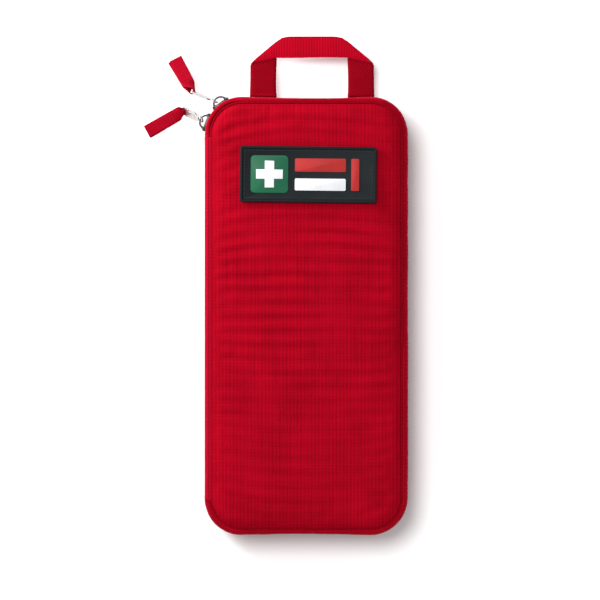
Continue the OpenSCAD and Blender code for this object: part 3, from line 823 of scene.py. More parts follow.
def wall(half, front, body):
    run = zip_run(2.2)
    obj = swept(half + "_wall", run, gusset_profile(front), M["gusset"], front)
    dress(obj, body, half + "_gusset")


def piping(half, front, body):
    """Covered cord sewn into the seam between panel and wall; its red, darker than the panel's, is painted
    shade of the groove it lies in.
    """
    out = 1.25
    pts = [(x + out * nx, y + out * ny, level(4.8 + 1.6 * at_sliders(x, y), front))
           for x, y, nx, ny in closed_run(2.2)]
    radius = [0.98 + 0.05 * smooth_noise(p[0] / 5, p[1] / 5, 3.0) for p in pts]
    obj = tube(half + "_piping_cord", pts, radius, M["piping"], sides=10, loop=True)
    dress(obj, body, half + "_piping")


def tape(half, front, body):
    def profile(f, s):
        sway = 0.12 * math.sin(s / 17)
        a, b = TAPE_U + 0.12 + sway, TAPE_U + 0.85 + sway
        return [(b, 22.6), (b, 25), (b, 27.4), (b - 0.1, 29.55), (b - 0.35, 29.68), (a + 0.1, 29.6),
                (a, 27.4), (a, 25), (a, 22.6)]
    run = zip_run(2.5, FRONT_ZIP_START if front else 180.0)
    dress(swept(half + "_zip_tape", run, profile, M["tape"], front), body, "zip_tape_" + half)


def coil(half, front, body):
    """Nylon coil: one wire wound round and round along the tape's edge."""
    run = zip_run(1.0, FRONT_ZIP_START if front else 180.0)
    s = lengths(run)
    pitch, per_turn = 1.5, 8
    at = np.linspace(0, s[-1], int(s[-1] / pitch * per_turn))
    x, y, nx, ny = (np.interp(at, s, run[:, k]) for k in range(4))
    turn = TURN * at / pitch + (math.pi if front else 0)
    u = TAPE_U + TAPE_T + 0.82 + 0.46 * np.cos(turn)
    pts = np.stack([x + u * nx, y + u * ny, level(28.35 + 0.98 * np.sin(turn), front)], 1)
    dress(tube(half + "_zip_coil", pts, 0.31, M["coil"], sides=5), body, "zip_coil_" + half)


def wall_stitches(half, front, body):
    """Two rows of stitches that hold the zip tape in the wall's folded edge."""
    run = zip_run(3.2)
    profile, s = gusset_profile(front), lengths(run)
    places = []
    for k in range(1, len(run) - 1):
        x, y, nx, ny = run[k]
        along = (*(run[k + 1][:2] - run[k - 1][:2]), 0)
        outer = profile(run[k], s[k])
        for u, h in (outer[9], ((outer[10][0] + outer[11][0]) / 2 + 0.05, 21.7)):
            places.append(((x + u * nx, y + u * ny, level(h, front)), along, (nx, ny, 0)))
    dress(stitches(half + "_wall_stitches", places, M["thread"]), body)


for build in (wall, piping, tape, coil, wall_stitches):
    both_halves(build)


def guard_flap():
    """Strip of cloth behind the parked sliders that keeps dust out of the case."""
    run = np.array([f for f in zip_run(1.0) if f[0] < -52 and f[1] > 130])
    total = lengths(run)[-1]
    foot, full_h, taper = 21.5, 36.0, 9.0

    def profile(f, s):
        mid = 2.25 + 0.15 * smooth_noise(f[0] / 9, f[1] / 9, 6.0)
        top = full_h - 12.5 * max(0.0, 1 - min(s, total - s) / taper) ** 2.2
        waist = foot + 0.45 * (top - foot)
        return [(mid + 0.3, foot), (mid + 0.3, waist), (mid + 0.2, top - 0.4), (mid - 0.05, top),
                (mid - 0.3, top - 0.4), (mid - 0.3, waist), (mid - 0.3, foot)]
    obj = dress(swept("zip_guard_flap", run, profile, M["gusset"], False), "base")


guard_flap()
eased("zip_stops", "zip_end_stops", "base", M["nickel"], 0.2)


# ---- spine ----

SPINE_Y0, SPINE_Y1 = SPINE_LO[1] - 5.0, SPINE_HI[1] + 6.0
SPINE_ROWS = np.arange(SPINE_Y0, SPINE_Y1 + 1.0, 2.0)
SPINE_FOLDS = (-72.4, 5.4), (-76.2, 10.5)  # (x, depth) at the two ends of a flap's fold line


def end_round(y):
    """How much of its full shape the strip has near its two rounded ends."""
    return min(step01(y, SPINE_Y0 - 0.5, SPINE_Y0 + 5), step01(-y, -SPINE_Y1 - 0.5, -SPINE_Y1 + 5))


def spine_panel():
    rings = []
    out = -PANEL_W / 2 - BULGE
    for y in SPINE_ROWS:
        wave = 0.35 * smooth_noise(y / 23, 3.0, 1.0) + 0.14 * smooth_noise(y / 6, 8.0, 2.0)
        k = end_round(y)
        face = out + 0.75 - 0.15 * k - 0.25 * wave * k
        over_board = SPINE_LO[1] + 0.3 < y < SPINE_HI[1] - 0.3
        back = out + (2.75 if over_board else 1.6)
        profile = []
        for i in range(11):
            z = 5.2 + (CASE_D - 10.4) * i / 10
            swell = 0.3 * math.sin(math.pi * i / 10) ** 0.7
            profile.append((face - swell * k + 0.18 * smooth_noise(y / 9, z / 12, 5.0), z))
        profile += [(out + 1.2, CASE_D - 4.2), (back, CASE_D - 4.4), (back, MID_Z + 8), (back, MID_Z - 8),
                    (back, 4.4), (out + 1.2, 4.2)]
        rings.append([(x, y, z) for x, z in profile])
    obj = dress(loft("spine_cover", rings, M["spine"]), "spine", "spine_panel")


def spine_flap(half, front, body):
    """Cloth from a panel's seam round the fold line on to the spine."""
    rings = []
    for y in SPINE_ROWS:
        wave, fine = wall_wave(-70, y, front)
        lip = 0.22 * end_round(y)
        outer = [(0.25, 4.4), (0.9, 3.95), (1.6, 3.65), (2.25, 3.7), (2.5, 4.05), (2.75, 3.75),
                 (3.3, 3.75 - lip), (4.1, 4.0 - 0.5 * fine - lip), (4.9, 4.6 - 0.5 * fine - lip),
                 (5.45, 5.5 - lip), (5.85, 7.0), (6.0, 9.0), (6.05, 12.0), (6.05, 14.2)]
        inner = [(u - 0.75, h + 0.35) if u > 5 else (u - 0.15, h + 0.85) for u, h in outer[-2:0:-1]]
        rings.append([(-PANEL_W / 2 - u - 0.1 * wave * (u > 4), y, level(h, front))
                      for u, h in outer + [(5.6, 14.3)] + inner + [(0.2, 5.5)]])
    obj = loft(half + "_spine_flap", rings, M["spine"])
    start, end = (Vector((x, 0, level(h, front))) * MM for x, h in SPINE_FOLDS)
    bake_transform(obj)


spine_panel()
both_halves(spine_flap)
paint("spine_stiffener", M["card"])


# ---- handle ----

HANDLE_LO, HANDLE_HI = mm_box("handle_webbing")
HANDLE_X = (HANDLE_LO[0] + HANDLE_HI[0]) / 2
HANDLE_Z = (HANDLE_LO[2] + HANDLE_HI[2]) / 2
TOP_Y, ROOT_Y = HANDLE_HI[1], HANDLE_LO[1]
LEG_W, GRIP_W, SLANT, SHOULDER = 20.0, 16.0, 24.0, 20.0
SIDES = (-1, "left"), (1, "right")


def band_ring(n, at):
    """Section of a flat band: at(t, 1) across its upper face, then at(t, -1) back across the lower one."""
    ts = [i / n for i in range(n + 1)]
    return [at(t, 1) for t in ts] + [at(t, -1) for t in ts[::-1]]


def grip():
    """Webbing across the top, folded over at both shoulders."""
    left, right = HANDLE_LO[0], HANDLE_HI[0]
    xs = np.concatenate([np.linspace(left + 0.6, left + SLANT, 15),
                         np.linspace(left + SLANT, right - SLANT, 26)[1:-1],
                         np.linspace(right - SLANT, right - 0.6, 15)])
    rings = []
    for x in xs:
        edge = min(x - left, right - x)
        upper = TOP_Y - SHOULDER * max(0.0, 1 - edge / SLANT)
        upper -= 0.9 * max(0.0, 1 - edge / 5) ** 2 + 0.9 * math.exp(-((edge - SLANT) / 3.2) ** 2)
        lower = TOP_Y - GRIP_W + 0.2 * math.sin(x / 9)
        if edge < LEG_W:
            q = 1 - edge / LEG_W
            lower = TOP_Y - GRIP_W - 4.3 * q ** 1.15 - 0.5 * math.sin(math.pi * q)
        lower = min(lower, upper - 0.7)
        bow = 0.75 * math.sin(math.pi * (x - left) / (right - left)) + 0.2 * smooth_noise(x / 12, 0.0, 4.0)
        z = HANDLE_Z + 0.75 + bow

        def at(t, face):
            end = t in (0, 1)
            rise = 0.75 - 0.42 * (2 * t - 1) ** 2 - 0.55 * end if face > 0 else -0.45 + 0.35 * end
            return x, lower + (upper - lower) * t, z + rise
        rings.append(band_ring(12, at))
    dress(loft("handle_grip", rings, M["webbing"]), "handle", "handle_webbing")


def leg(side, name):
    """Webbing from the root up to the shoulder, its reverse side showing: real twill, in a darker colour
    that is painted shade.
    """
    outer = HANDLE_LO[0] if side < 0 else HANDLE_HI[0]
    top = TOP_Y - SHOULDER
    rings = []
    for t in np.linspace(0, 1, 17):
        y = ROOT_Y - 0.4 + (top + 4.2 - ROOT_Y) * t
        pull = 0.45 * math.sin(math.pi * t)
        edge = outer - side * (0.35 * pull) + side * 0.35 * (1 - t)
        a = edge - side * max(0.0, y - top + 1.2) * 1.15
        b = edge - side * (LEG_W - pull * 1.1)
        z = HANDLE_Z - 0.55 + 0.35 * math.sin(2.6 * t + side)

        def at(q, face):
            crease = 0.32 * smooth_noise(q * 3.1 + side, y / 8, 5.0)
            return a + (b - a) * q, y, z + face * (0.5 - 0.3 * (2 * q - 1) ** 6) + crease
        rings.append(band_ring(8, at))
    dress(loft("handle_leg_" + name, rings, M["webbing_back_painted_shade"]), "handle", ())


def handle_roots():
    """Webbing ends sewn to the wall, with the short hinge of webbing at the fold line."""
    low, high = (corner[2] for corner in mm_box("handle_anchors"))
    base_y = PANEL_H / 2 + BULGE
    pieces, places = [], []
    for side, name in SIDES:
        cx = HANDLE_X + side * (HANDLE_HI[0] - HANDLE_LO[0] - LEG_W) / 2

        # Anchors and hinge take the reverse webbing, darkened with painted shade.
        def strap(label, width, thick, path):
            return ribbon(label, [(cx, y, z) for y, z in path], [(1, 0, 0)] * len(path), width, thick,
                          M["webbing_back_painted_shade"])
        pieces.append(strap("anchor", LEG_W - 0.6, 0.85, [
            (base_y - 0.35, low - 1.2), (base_y + 0.1, low + 0.2), (base_y + 0.35, low + 1.6),
            (base_y + 0.5, high - 0.4)]))
        a, b = cx - LEG_W / 2 + 2, cx + LEG_W / 2 - 2
        y0, z0, y1, z1 = base_y + 0.75, low + 0.2, base_y + 0.85, high - 0.9
        for p, q in (((a, y0, z0), (b, y0, z0)), ((a, y1, z1), (b, y1, z1)),
                     ((a, y0, z0), (b, y1, z1)), ((b, y0, z0), (a, y1, z1))):
            places += stitch_line(p, q, (0, 1, 0), 2.4)
        hinge = strap("handle_hinge_" + name, LEG_W - 0.4, 0.8, [
            (base_y + 0.5, high - 1.0), (base_y + 0.6, high + 0.1), (base_y + 0.85, HANDLE_Z - 0.9),
            (ROOT_Y + 0.3, HANDLE_Z - 0.55), (ROOT_Y + 2.2, HANDLE_Z - 0.5)])
        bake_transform(hinge)
    dress(join("handle_anchor_webbing", pieces), "base", "handle_anchors")
    dress(stitches("handle_anchor_stitches", places, M["thread"], length=1.8), "base")


grip()
for side, name in SIDES:
    leg(side, name)
handle_roots()


# ---- sliders and pullers ----

SLIDER_BASE, SLIDER_TOP = 28.02, 29.32  # distance from the corner's centre
BRIDGE_R, BRIDGE_SINK = 5.2, 1.2
EYE_X, BAR_X = 5.5, 23.8  # along a tongue, from its bridge


def at_slider(deg):
    return move(-CORNER_X, CORNER_Y, MID_Z) @ rot(deg - 90, "Z")


def at_bridge(deg):
    return at_slider(deg) @ move(0, SLIDER_TOP - BRIDGE_SINK)


def at_puller(deg, heading, droop, twist):
    return (at_bridge(deg) @ rot(heading - deg + 90, "Z") @ move(BRIDGE_R, 0) @ rot(droop, "Y")
            @ move(-BRIDGE_R, 0) @ rot(twist, "X"))


def slider_body(label, deg):
    """Top plate of a slider with its two rolled edges and narrower noses."""
    rings = []
    for t in np.linspace(-1, 1, 17):
        w = 5.0 * (1 - 0.2 * abs(t) ** 3 - 0.22 * max(0.0, abs(t) - 0.8) / 0.2)
        nose = 0.75 * max(0.0, abs(t) - 0.72) / 0.28
        top, edge, lip = SLIDER_TOP - 0.35 * nose ** 2, 26.35 + nose * 0.7, w - 1.3
        half = [(0, top + 0.04), (w * 0.5, top), (w - 0.7, top - 0.08), (w - 0.25, 28.95), (w, 28.5),
                (w, edge + 0.15), (w - 0.3, edge), (lip + 0.2, edge + 0.05), (lip, edge + 0.35),
                (lip, SLIDER_BASE + 0.03)]
        outline = half + [(-z, y) for z, y in half[:0:-1]]
        rings.append([(7 * t, y, z) for z, y in outline])
    return put(loft(label + "_slider", rings, M["gunmetal"]), at_slider(deg))


def slider_bridge(label, deg):
    """Round wire that a tongue hangs on, with a foot at each end."""
    start, n = math.asin(BRIDGE_SINK / BRIDGE_R), 24
    turns = [start + (math.pi - 2 * start) * k / n for k in range(n + 1)]
    thick = [0.65 + 0.18 * math.exp(-(min(k, n - k) / 2.2) ** 2) for k in range(n + 1)]
    parts = [tube("arc", [(BRIDGE_R * math.cos(a), BRIDGE_R * math.sin(a), 0) for a in turns], thick,
                  M["gunmetal"], sides=12)]
    for side in (-1, 1):
        foot = []
        for a in np.linspace(0, math.pi, 7):
            r, x = 1.25 * math.sin(a) + 0.02, side * (BRIDGE_R - 0.1) - 1.5 * math.cos(a)
            foot.append([(x, BRIDGE_SINK + 0.12 + 0.42 * r * math.cos(q), r * math.sin(q))
                         for q in circle(12)])
        parts.append(loft("foot", foot, M["gunmetal"]))
    return put(join(label + "_bridge", parts), at_bridge(deg))


def arc_points(cx, cy, r, a0, a1, n):
    turns = [math.radians(a0 + (a1 - a0) * i / n) for i in range(n + 1)]
    return [(cx + r * math.cos(a), cy + r * math.sin(a)) for a in turns]


def pierced_plate(name, outer, holes, t, bevel, mat):
    """Flat metal part with holes and rounded edges, cut from 2-D outlines."""
    cu = bpy.data.curves.new(name, "CURVE")
    cu.dimensions, cu.fill_mode, cu.bevel_resolution = "2D", "BOTH", 2
    for outline in [outer, *holes]:
        spline = cu.splines.new("POLY")
        spline.points.add(len(outline) - 1)
        spline.points.foreach_set("co", [c for x, y in outline for c in (x * MM, y * MM, 0, 1)])
        spline.use_cyclic_u = True
    cu.extrude, cu.bevel_depth, cu.offset = (t / 2 - bevel) * MM, bevel * MM, -bevel * MM
    outline_obj = bpy.data.objects.new(name, cu)
    mesh = bpy.data.meshes.new_from_object(outline_obj)
    bpy.data.objects.remove(outline_obj)
    mesh.name = name
    mesh.materials.clear()
    mesh.materials.append(mat)
    tidy_mesh(mesh, smooth=False, merge=1e-6)
    return link(name, mesh)


def tongue(name, place):
    """Flat puller: an open eye round the bridge, a neck, a raised middle and a slot for the tab."""
    half = [(8.2, 2.45), (9.2, 3.3), (10.2, 3.9), (12.5, 4.0)]
    outer = arc_points(EYE_X, 0, 3.0, 55, 305, 28) + [(x, -y) for x, y in half]
    outer += arc_points(22.9, -2.4, 1.6, -90, 0, 6) + arc_points(22.9, 2.4, 1.6, 0, 90, 6) + half[::-1]
    eye = arc_points(EYE_X, 0, 1.9, 0, 345, 23)
    slot = (arc_points(22.5, 1.6, 0.6, 0, 90, 4) + arc_points(21.5, 1.6, 0.6, 90, 180, 4)
            + arc_points(21.5, -1.6, 0.6, 180, 270, 4) + arc_points(22.5, -1.6, 0.6, 270, 360, 4))
    plate = pierced_plate(name, outer, [eye, slot], 1.1, 0.22, M["nickel"])
    raised = [(rect_loop(8.0, 5.2, 1.4), 0.5), (rect_loop(7.6, 4.8, 1.2), 0.66),
              (rect_loop(6.9, 4.1, 0.9), 0.7)]
    return put(join(name, [plate, stacked(name + "_middle", raised, move(15.3, 0), M["nickel"])]), place)


def tab(label, place, heading, droop, splay):
    """Folded strip of the case's cloth: through the tongue's slot, round its bar, and back on itself."""
    centre = np.array(place @ Vector((BAR_X, 0, 0)))
    bar = unit(np.array(place.to_3x3() @ Vector((0, 1, 0))))
    turn = (rot(heading, "Z") @ rot(droop, "Y")).to_3x3()
    ex, ey, ez = np.array(turn).T
    bar = -bar if bar @ ey < 0 else bar
    e1 = unit(ex - (ex @ bar) * bar)
    e2 = np.cross(bar, e1)
    e2 = -e2 if e2 @ ez < 0 else e2
    n = 26

    def leg_point(sign, k):
        d = 1.2 + 31.8 * k / n
        mix = step01(d, 1.5, 11.0)
        across = unit(bar * (1 - mix) + ey * mix)
        normal = unit(np.cross(ex, across))
        if normal @ (e2 * (1 - mix) + ez * mix) < 0:
            normal = -normal
        gap = 1.45 * (1 - step01(d, 1.0, 9.5)) + 0.52
        aside = splay * max(0.0, d - 8) / 25 * (sign < 0)
        wave = 0.35 * math.sin(d / 5.2) * step01(d, 8, 16)
        point = centre + ex * d + normal * sign * gap + ey * aside + ez * wave
        return point, 4.3 + 5.7 * step01(d, 0.7, 4.2), 0.95, across

    rows = [leg_point(1, k) for k in range(n, -1, -1)]
    for phi in np.radians(np.linspace(100, 260, 9)):
        rows.append((centre + 1.5 * (math.cos(phi) * e1 + math.sin(phi) * e2), 4.2, 0.8, bar))
    rows += [leg_point(-1, k) for k in range(n + 1)]
    points, width, thick, across = zip(*rows)
    name, body = label + "_fabric_tab", label + "_tab"
    dress(ribbon(name, points, across, width, thick, M["tab"], edge=0.5), body, label + "_pull_tab")
    seam = leg_point(1, 7)[0]
    places = [(seam + ey * q + ez * 0.5, ey, ez) for q in (-3.2, -1.1, 1.1, 3.2)]
    dress(stitches(name + "_stitches", places, M["thread"], length=1.7, r=0.2), body)


def puller_set(label, deg, heading, droop, twist, tab_heading, tab_droop, splay):
    """One slider with everything that hangs on it. Angles are in degrees."""
    body, node = label + "_slider", label + "_slider_"
    dress(slider_body(label, deg), body, node + "body")
    dress(slider_bridge(label, deg), body, node + "bridge")
    place = at_puller(deg, heading, droop, twist)
    dress(tongue(label + "_tongue", place), label + "_puller", label + "_puller_tongue")
    tab(label, place, tab_heading, tab_droop, splay)


puller_set("upper", 125, 157, 15, 80, 117, 31, 1.5)
puller_set("lower", 161, 153, 40, -50, 209, 15, 0.5)


# ---- patch ----

HOOK_Z = CASE_D + 0.8
RUBBER_Z = HOOK_Z + 0.8
RIM_Z = mm_box("patch_base")[1][2]
DECK_Z = RIM_Z - 0.6


def on_patch(x=0.0, y=0.0):
    return move(PATCH_X, PATCH_Y) @ rot(math.degrees(PATCH_TURN), "Z") @ move(x, y)


def pile(name, z0, z1, mat, node, seed):
    """Hook or loop field: its rim of fibres is uneven."""
    loops = []
    for d, z in ((0.5, z0), (0.05, z0 + 0.2), (0.0, (z0 + z1) / 2), (0.2, z1 - 0.12), (0.6, z1)):
        corners = np.array(rect_loop(PATCH_W - 3 - 2 * d, PATCH_H - 3 - 2 * d, PATCH_MARGIN, 3))
        fine = []
        for a, b in zip(corners, np.roll(corners, -1, 0)):
            n = max(1, int(np.hypot(*(b - a)) / 1.1))
            fine += [a + (b - a) * i / n for i in range(n)]
        loops.append(([(x + 0.12 * smooth_noise(x, y, seed), y + 0.12 * smooth_noise(x, y, seed + 3))
                       for x, y in fine], z))
    count = min(len(pts) for pts, _ in loops)
    loops = [([pts[int(i * len(pts) / count)] for i in range(count)], z) for pts, z in loops]
    dress(stacked(name, loops, on_patch(), mat), "cover", node)


def patch():
    """Moulded rubber plate with a sunk deck, a stitched edge and raised plain fields."""
    rim = [(1.55, RIM_Z), (1.9, RIM_Z - 0.1), (2.2, DECK_Z + 0.1), (2.5, DECK_Z)]
    plate = slab("patch_rubber_plate", (PATCH_W, PATCH_H), 2.0, RUBBER_Z, RIM_Z, M["rubber"], on_patch(),
                 bevel=0.45, layers=rim)
    dress(plate, "cover", "patch_base")
    w, h, z = PATCH_W / 2 - 3.3, PATCH_H / 2 - 3.3, DECK_Z + 0.06
    corners = [(-w, h, z), (w, h, z), (w, -h, z), (-w, -h, z)]
    places = [place for a, b in zip(corners, corners[1:] + corners[:1])
              for place in stitch_line(a, b, (0, 0, 1), 2.1)]
    dress(put(stitches("patch_stitches", places, M["thread_black"], length=1.5, r=0.2), on_patch()), "cover")
    top = DECK_Z + 0.5

    def raised(name, size, x, y, r, mat):
        return slab(name, size, r, DECK_Z - 0.05, top, M[mat], on_patch(x, y), bevel=0.18)
    dress(raised("patch_field", (28, 28), -29, 0, 3, "green"), "cover", "patch_green_field")
    loops = [(inset_loop(plus(3.5, 10.0), d), top + z)
             for d, z in ((0, -0.05), (0, 0.3), (0.06, 0.44), (0.2, 0.5))]
    dress(stacked("patch_cross", loops, on_patch(-29, 0), M["white"]), "cover", "patch_white_cross")
    dress(raised("patch_bar_white", (38, 9), 9, -7.5, 1, "white"), "cover", "patch_white_bar")
    bars = [raised("bar_a", (38, 10), 9, 7, 1, "red"), raised("bar_b", (6, 24), 35, 0, 1, "red")]
    dress(join("patch_bars_red", bars), "cover", "patch_red_bars")


pile("patch_loop_pile", CASE_D - 0.02, HOOK_Z - 0.03, M["loop"], "patch_loop_field", 1.0)
pile("patch_hook_pile", HOOK_Z + 0.03, RUBBER_Z, M["hook"], "patch_hook_backing", 8.0)
patch()


# ---- linings ----


def lining(half, front, body):
    """Nylon laid over the board and quilted in diamonds, its edge turned down round the board."""
    w, h, r = PANEL_W - 8, PANEL_H - 8, PANEL_R - 4
    nx, ny, quilt_size = 33, 77, 44
    base = FLOOR_Z - 1.2
    top = np.zeros((nx + 1, ny + 1, 3))
    for i, j in np.ndindex(nx + 1, ny + 1):
        x, y = round_corners(-w / 2 + w * i / nx, -h / 2 + h * j / ny, w / 2, h / 2, r)
        d = max(0.0, edge_distance(x, y) - 4)
        quilt = abs(math.sin(math.pi * (x + y) / quilt_size) * math.sin(math.pi * (x - y) / quilt_size))
        rise = 0.72 + 0.28 * quilt ** 0.5 + 0.08 * smooth_noise(x / 14, y / 14, 2.0)
        top[i, j] = x, y, base + rise * step01(d, -1.2, 1.5)
    low = top - (0, 0, 0.45)
    if front:
        for grid in (top, low):
            grid[:, :, 2] = CASE_D - grid[:, :, 2]
    obj = sandwich(half + "_lining_cloth", top, low, M["lining"], flat_uv=True)
    dress(obj, body, half + "_lining")
    paint(half + "_board", M["card"])


lining("back", False, "base")
lining("front", True, "cover")


# ---- things in the back half ----


def packet(name, lo, hi, mat, crimp=4.0, seed=1.0, wrinkle=0.35, cell=2.6, teeth=False):
    """Sealed soft packet: a filled middle with wrinkles and a flat crimped edge all round."""
    size = hi - lo
    nx, ny = (max(8, round(s / cell)) for s in size[:2])
    mid, half_seam = lo[2] + size[2] * 0.45, 0.25
    grids = np.zeros((2, nx + 1, ny + 1, 3))
    for upper, i, j in np.ndindex(2, nx + 1, ny + 1):
        x, y = lo[0] + size[0] * i / nx, lo[1] + size[1] * j / ny
        d = min(x - lo[0], hi[0] - x, y - lo[1], hi[1] - y)
        swell = step01(d, crimp * 0.7, crimp + 11) ** 0.75
        rough = smooth_noise(x / 13 + seed, y / 13, seed) + 0.5 * smooth_noise(x / 5, y / 5 + seed, seed)
        if teeth and (i in (0, nx) or j in (0, ny)) and (i + j) % 2:
            x += 0.5 * (x < lo[0] + 0.1) - 0.5 * (x > hi[0] - 0.1)
        if upper:
            z = mid + half_seam + (hi[2] - mid - half_seam) * swell * (0.92 + 0.08 * rough)
            z = min(z + wrinkle * rough * swell * 0.6, hi[2])
        else:
            z = max(mid - half_seam - (mid - half_seam - lo[2]) * swell, lo[2])
        if d < crimp:
            z = min(z + 0.12 * math.sin((x + y) * 2.2) * (d > 0.3), hi[2])
        grids[upper, i, j] = x, y, z
    return sandwich(name, grids[1], grids[0], mat, flat_uv=True)


def pack(name, node, mat, slot, body="base", label=None, fill=0.5, **looks):
    """Packet in the place of a CAD node, with a plain paper label on top if asked."""
    lo, hi = mm_box(node)
    obj = dress(packet(name, lo, hi, M[mat], **looks), body, node)
    if label:
        size, z = (hi - lo) * (0.5, 0.34, 0), hi[2] - 0.1
        card = slab(name + "_label", size, 2, z, z + 0.16, M[label], move(*(lo + hi)[:2] / 2), bevel=0.05)
        dress(card, body)


pack("dressing_pack", "wound_dressing_pack", "paper", "paper_white", seed=2.0, fill=0.8, teeth=True)
pack("triangular_pack", "triangular_bandage_pack", "pouch", "pouch_blue", seed=5.0, wrinkle=0.5)
pack("gloves_pack", "glove_pack", "pouch", "pouch_blue", seed=7.0, wrinkle=0.6, label="paper")
pack("foil_pack", "foil_blanket_pack", "foil", "foil_silver", seed=9.0, wrinkle=0.8, crimp=3.0)
pack("face_shield_pack", "face_shield_pouch", "pouch", "pouch_blue", body="cover", seed=12.0, crimp=3.0)


def wipes():
    """Stack of sachets, each lying a little askew."""
    lo, hi = mm_box("antiseptic_wipes")
    count = 5
    parts = []
    for k in range(count):
        z0, z1 = (lo[2] + (hi[2] - lo[2]) * q / count for q in (k, k + 1))
        dx, dy = 0.8 * math.sin(2.1 * k), 0.9 * math.cos(3.3 * k)
        a = np.array((lo[0] + 1 + dx, lo[1] + 1 + dy, z0))
        b = np.array((hi[0] - 1 + dx, hi[1] - 1 + dy, z1 - 0.05))
        parts.append(packet("wipe", a, b, M["paper"], crimp=5.0, seed=3.0 + k, wrinkle=0.1, cell=3.2))
    dress(join("wipe_sachets", parts), "base", "antiseptic_wipes")


def bandage(name, node, mat):
    """Rolled bandage: the wraps show as a spiral on both ends and as a step along its side."""
    lo, hi = mm_box(node)
    r, (_, cy, cz) = (hi[1] - lo[1]) / 2, (lo + hi) / 2
    turns, wrap, per_turn, thick = 7, 1.35, 40, 0.85
    bulge = np.array((0.0, 0.35, 0.42, 0.45, 0.45, 0.45, 0.42, 0.35, 0.0))
    xs = np.linspace(lo[0] + 0.2, hi[0] - 0.2, len(bulge))
    rings = []
    for k in range(turns * per_turn + 1):
        a = TURN * k / per_turn + 1.1
        radius = max(1.5, r - 0.45 - wrap * (turns * per_turn - k) / per_turn)
        ends = xs.copy()
        ends[[0, -1]] += 0.35 * math.sin(a * 0.7)
        outer, inner = ([(x, cy + q * math.cos(a), cz + q * math.sin(a))
                         for x, q in zip(ends, radius - depth + bulge)] for depth in (0, thick))
        rings.append(outer + inner[::-1])
    obj = dress(loft(name, rings, M[mat]), "base", node)


def ampoules():
    """Plastic ampoules: a flattened body, a shoulder, a twist-off neck and its tab."""
    lo, hi = mm_box("saline_ampoules")
    profile = [(0.0, 1.2, 0.5), (0.4, 4.3, 4.2), (2, 4.8, 4.75), (26, 4.8, 4.75), (29, 4.0, 3.8),
               (31.5, 2.1, 2.0), (33, 1.5, 1.4), (35, 1.6, 1.4), (35.8, 4.0, 0.9), (45.2, 4.2, 0.9),
               (46, 3.6, 0.5)]  # distance along, half width, half thickness
    parts = []
    for cx in (44, 55):
        for cz in (lo[2] + 4.8, hi[2] - 4.8):
            rings = [[(cx + a * math.cos(q), lo[1] + y, cz + b * math.sin(q)) for q in circle(20)]
                     for y, a, b in profile]
            parts.append(loft("ampoule", rings, M["clear"]))
    dress(join("ampoule_set", parts), "base", "saline_ampoules")


def plaster_box():
    lo, hi = mm_box("plaster_box")
    (cx, cy, _), top = (lo + hi) / 2, hi[2]
    carton = slab("plaster_carton", hi - lo, 0.8, lo[2], top, M["tan"], move(cx, cy), bevel=0.5)
    dress(carton, "base", "plaster_box")
    print_z = top - 0.02
    trim = [slab("lid", (hi[0] - lo[0] - 3, 0.5), 0.2, print_z, top + 0.1, M["card"], move(cx, hi[1] - 7),
                 bevel=0.04),
            slab("spot", (20, 20), 3, print_z, top + 0.06, M["paper"], move(cx - 12, cy - 3), bevel=0.02),
            slab("band", (18, 5), 1, print_z, top + 0.06, M["paper"], move(cx + 13, cy), bevel=0.02)]
    dress(join("plaster_carton_print", trim), "base")


def tape_roll():
    """Tape on its reel, with the edges of its layers showing on both flat sides."""
    lo, hi = mm_box("tape_roll")
    (cx, cy, _), z0, z1 = (lo + hi) / 2, lo[2], hi[2]
    r1, r0, layers = (hi[0] - lo[0]) / 2, 12.0, 8
    profile = [(r0, z0 + 0.4), (r0 + 0.4, z0 + 0.2), (r0 + 1.4, z0 + 0.25), (r0 + 1.6, z0 + 0.7)]
    for k in range(layers):
        r = r0 + 2 + (r1 - r0 - 2.4) * k / (layers - 1)
        profile += [(r - 0.35, z0 + 0.35), (r, z0 + 0.15 + 0.12 * (k % 2))]
    lower = profile[::-1]
    profile += [(r1 - 0.05, z0 + 0.3), (r1, z0 + 0.8), (r1, z1 - 0.8), (r1 - 0.05, z1 - 0.3)]
    profile += [(r, z0 + z1 - z) for r, z in lower]
    rings = [[(cx + r * math.cos(a), cy + r * math.sin(a), z) for r, z in profile] for a in circle(64)]
    dress(loft("tape_reel", rings, M["tape_white"], loop=True), "base", "tape_roll")


def dividers():
    """Two padded walls across the tray, their tops bound with tape."""
    lo, hi = mm_box("compartment_dividers")
    reach, height = 62, 18

    def droop(x):
        return 1.2 * (1 - step01(reach - abs(x), -1, 5))

    def sway(x, y):
        return 0.5 * smooth_noise(x / 25, y, 1.0)
    pads, bindings = [], []
    for y in (54.0, -52.0):
        rings = []
        for x in np.linspace(-reach, reach, 45):
            wide = 1 - 0.25 * droop(x) / 1.2
            top = hi[2] - 0.6 - droop(x) + 0.25 * smooth_noise(x / 8, y, 3.0)
            half = [(1.3, lo[2]), (1.7, lo[2] + 3), (1.9, lo[2] + 9), (1.6, top - 2), (0.9, top - 0.5)]
            outline = [(-a, z) for a, z in half] + [(0, top)] + half[::-1]
            rings.append([(x, y + sway(x, y) * (z - lo[2]) / height + a * wide, z) for a, z in outline])
        pads.append(loft("divider", rings, M["lining"]))
        edge = [(x, y + sway(x, y), hi[2] - 0.75 - droop(x))
                for x in np.linspace(0.5 - reach, reach - 0.5, 50)]
        bindings.append(tube("binding", edge, 0.9, M["elastic"], flat=0.8))
    obj = dress(join("divider_pads", pads), "base", "compartment_dividers")
    dress(join("divider_binding", bindings), "base", ())


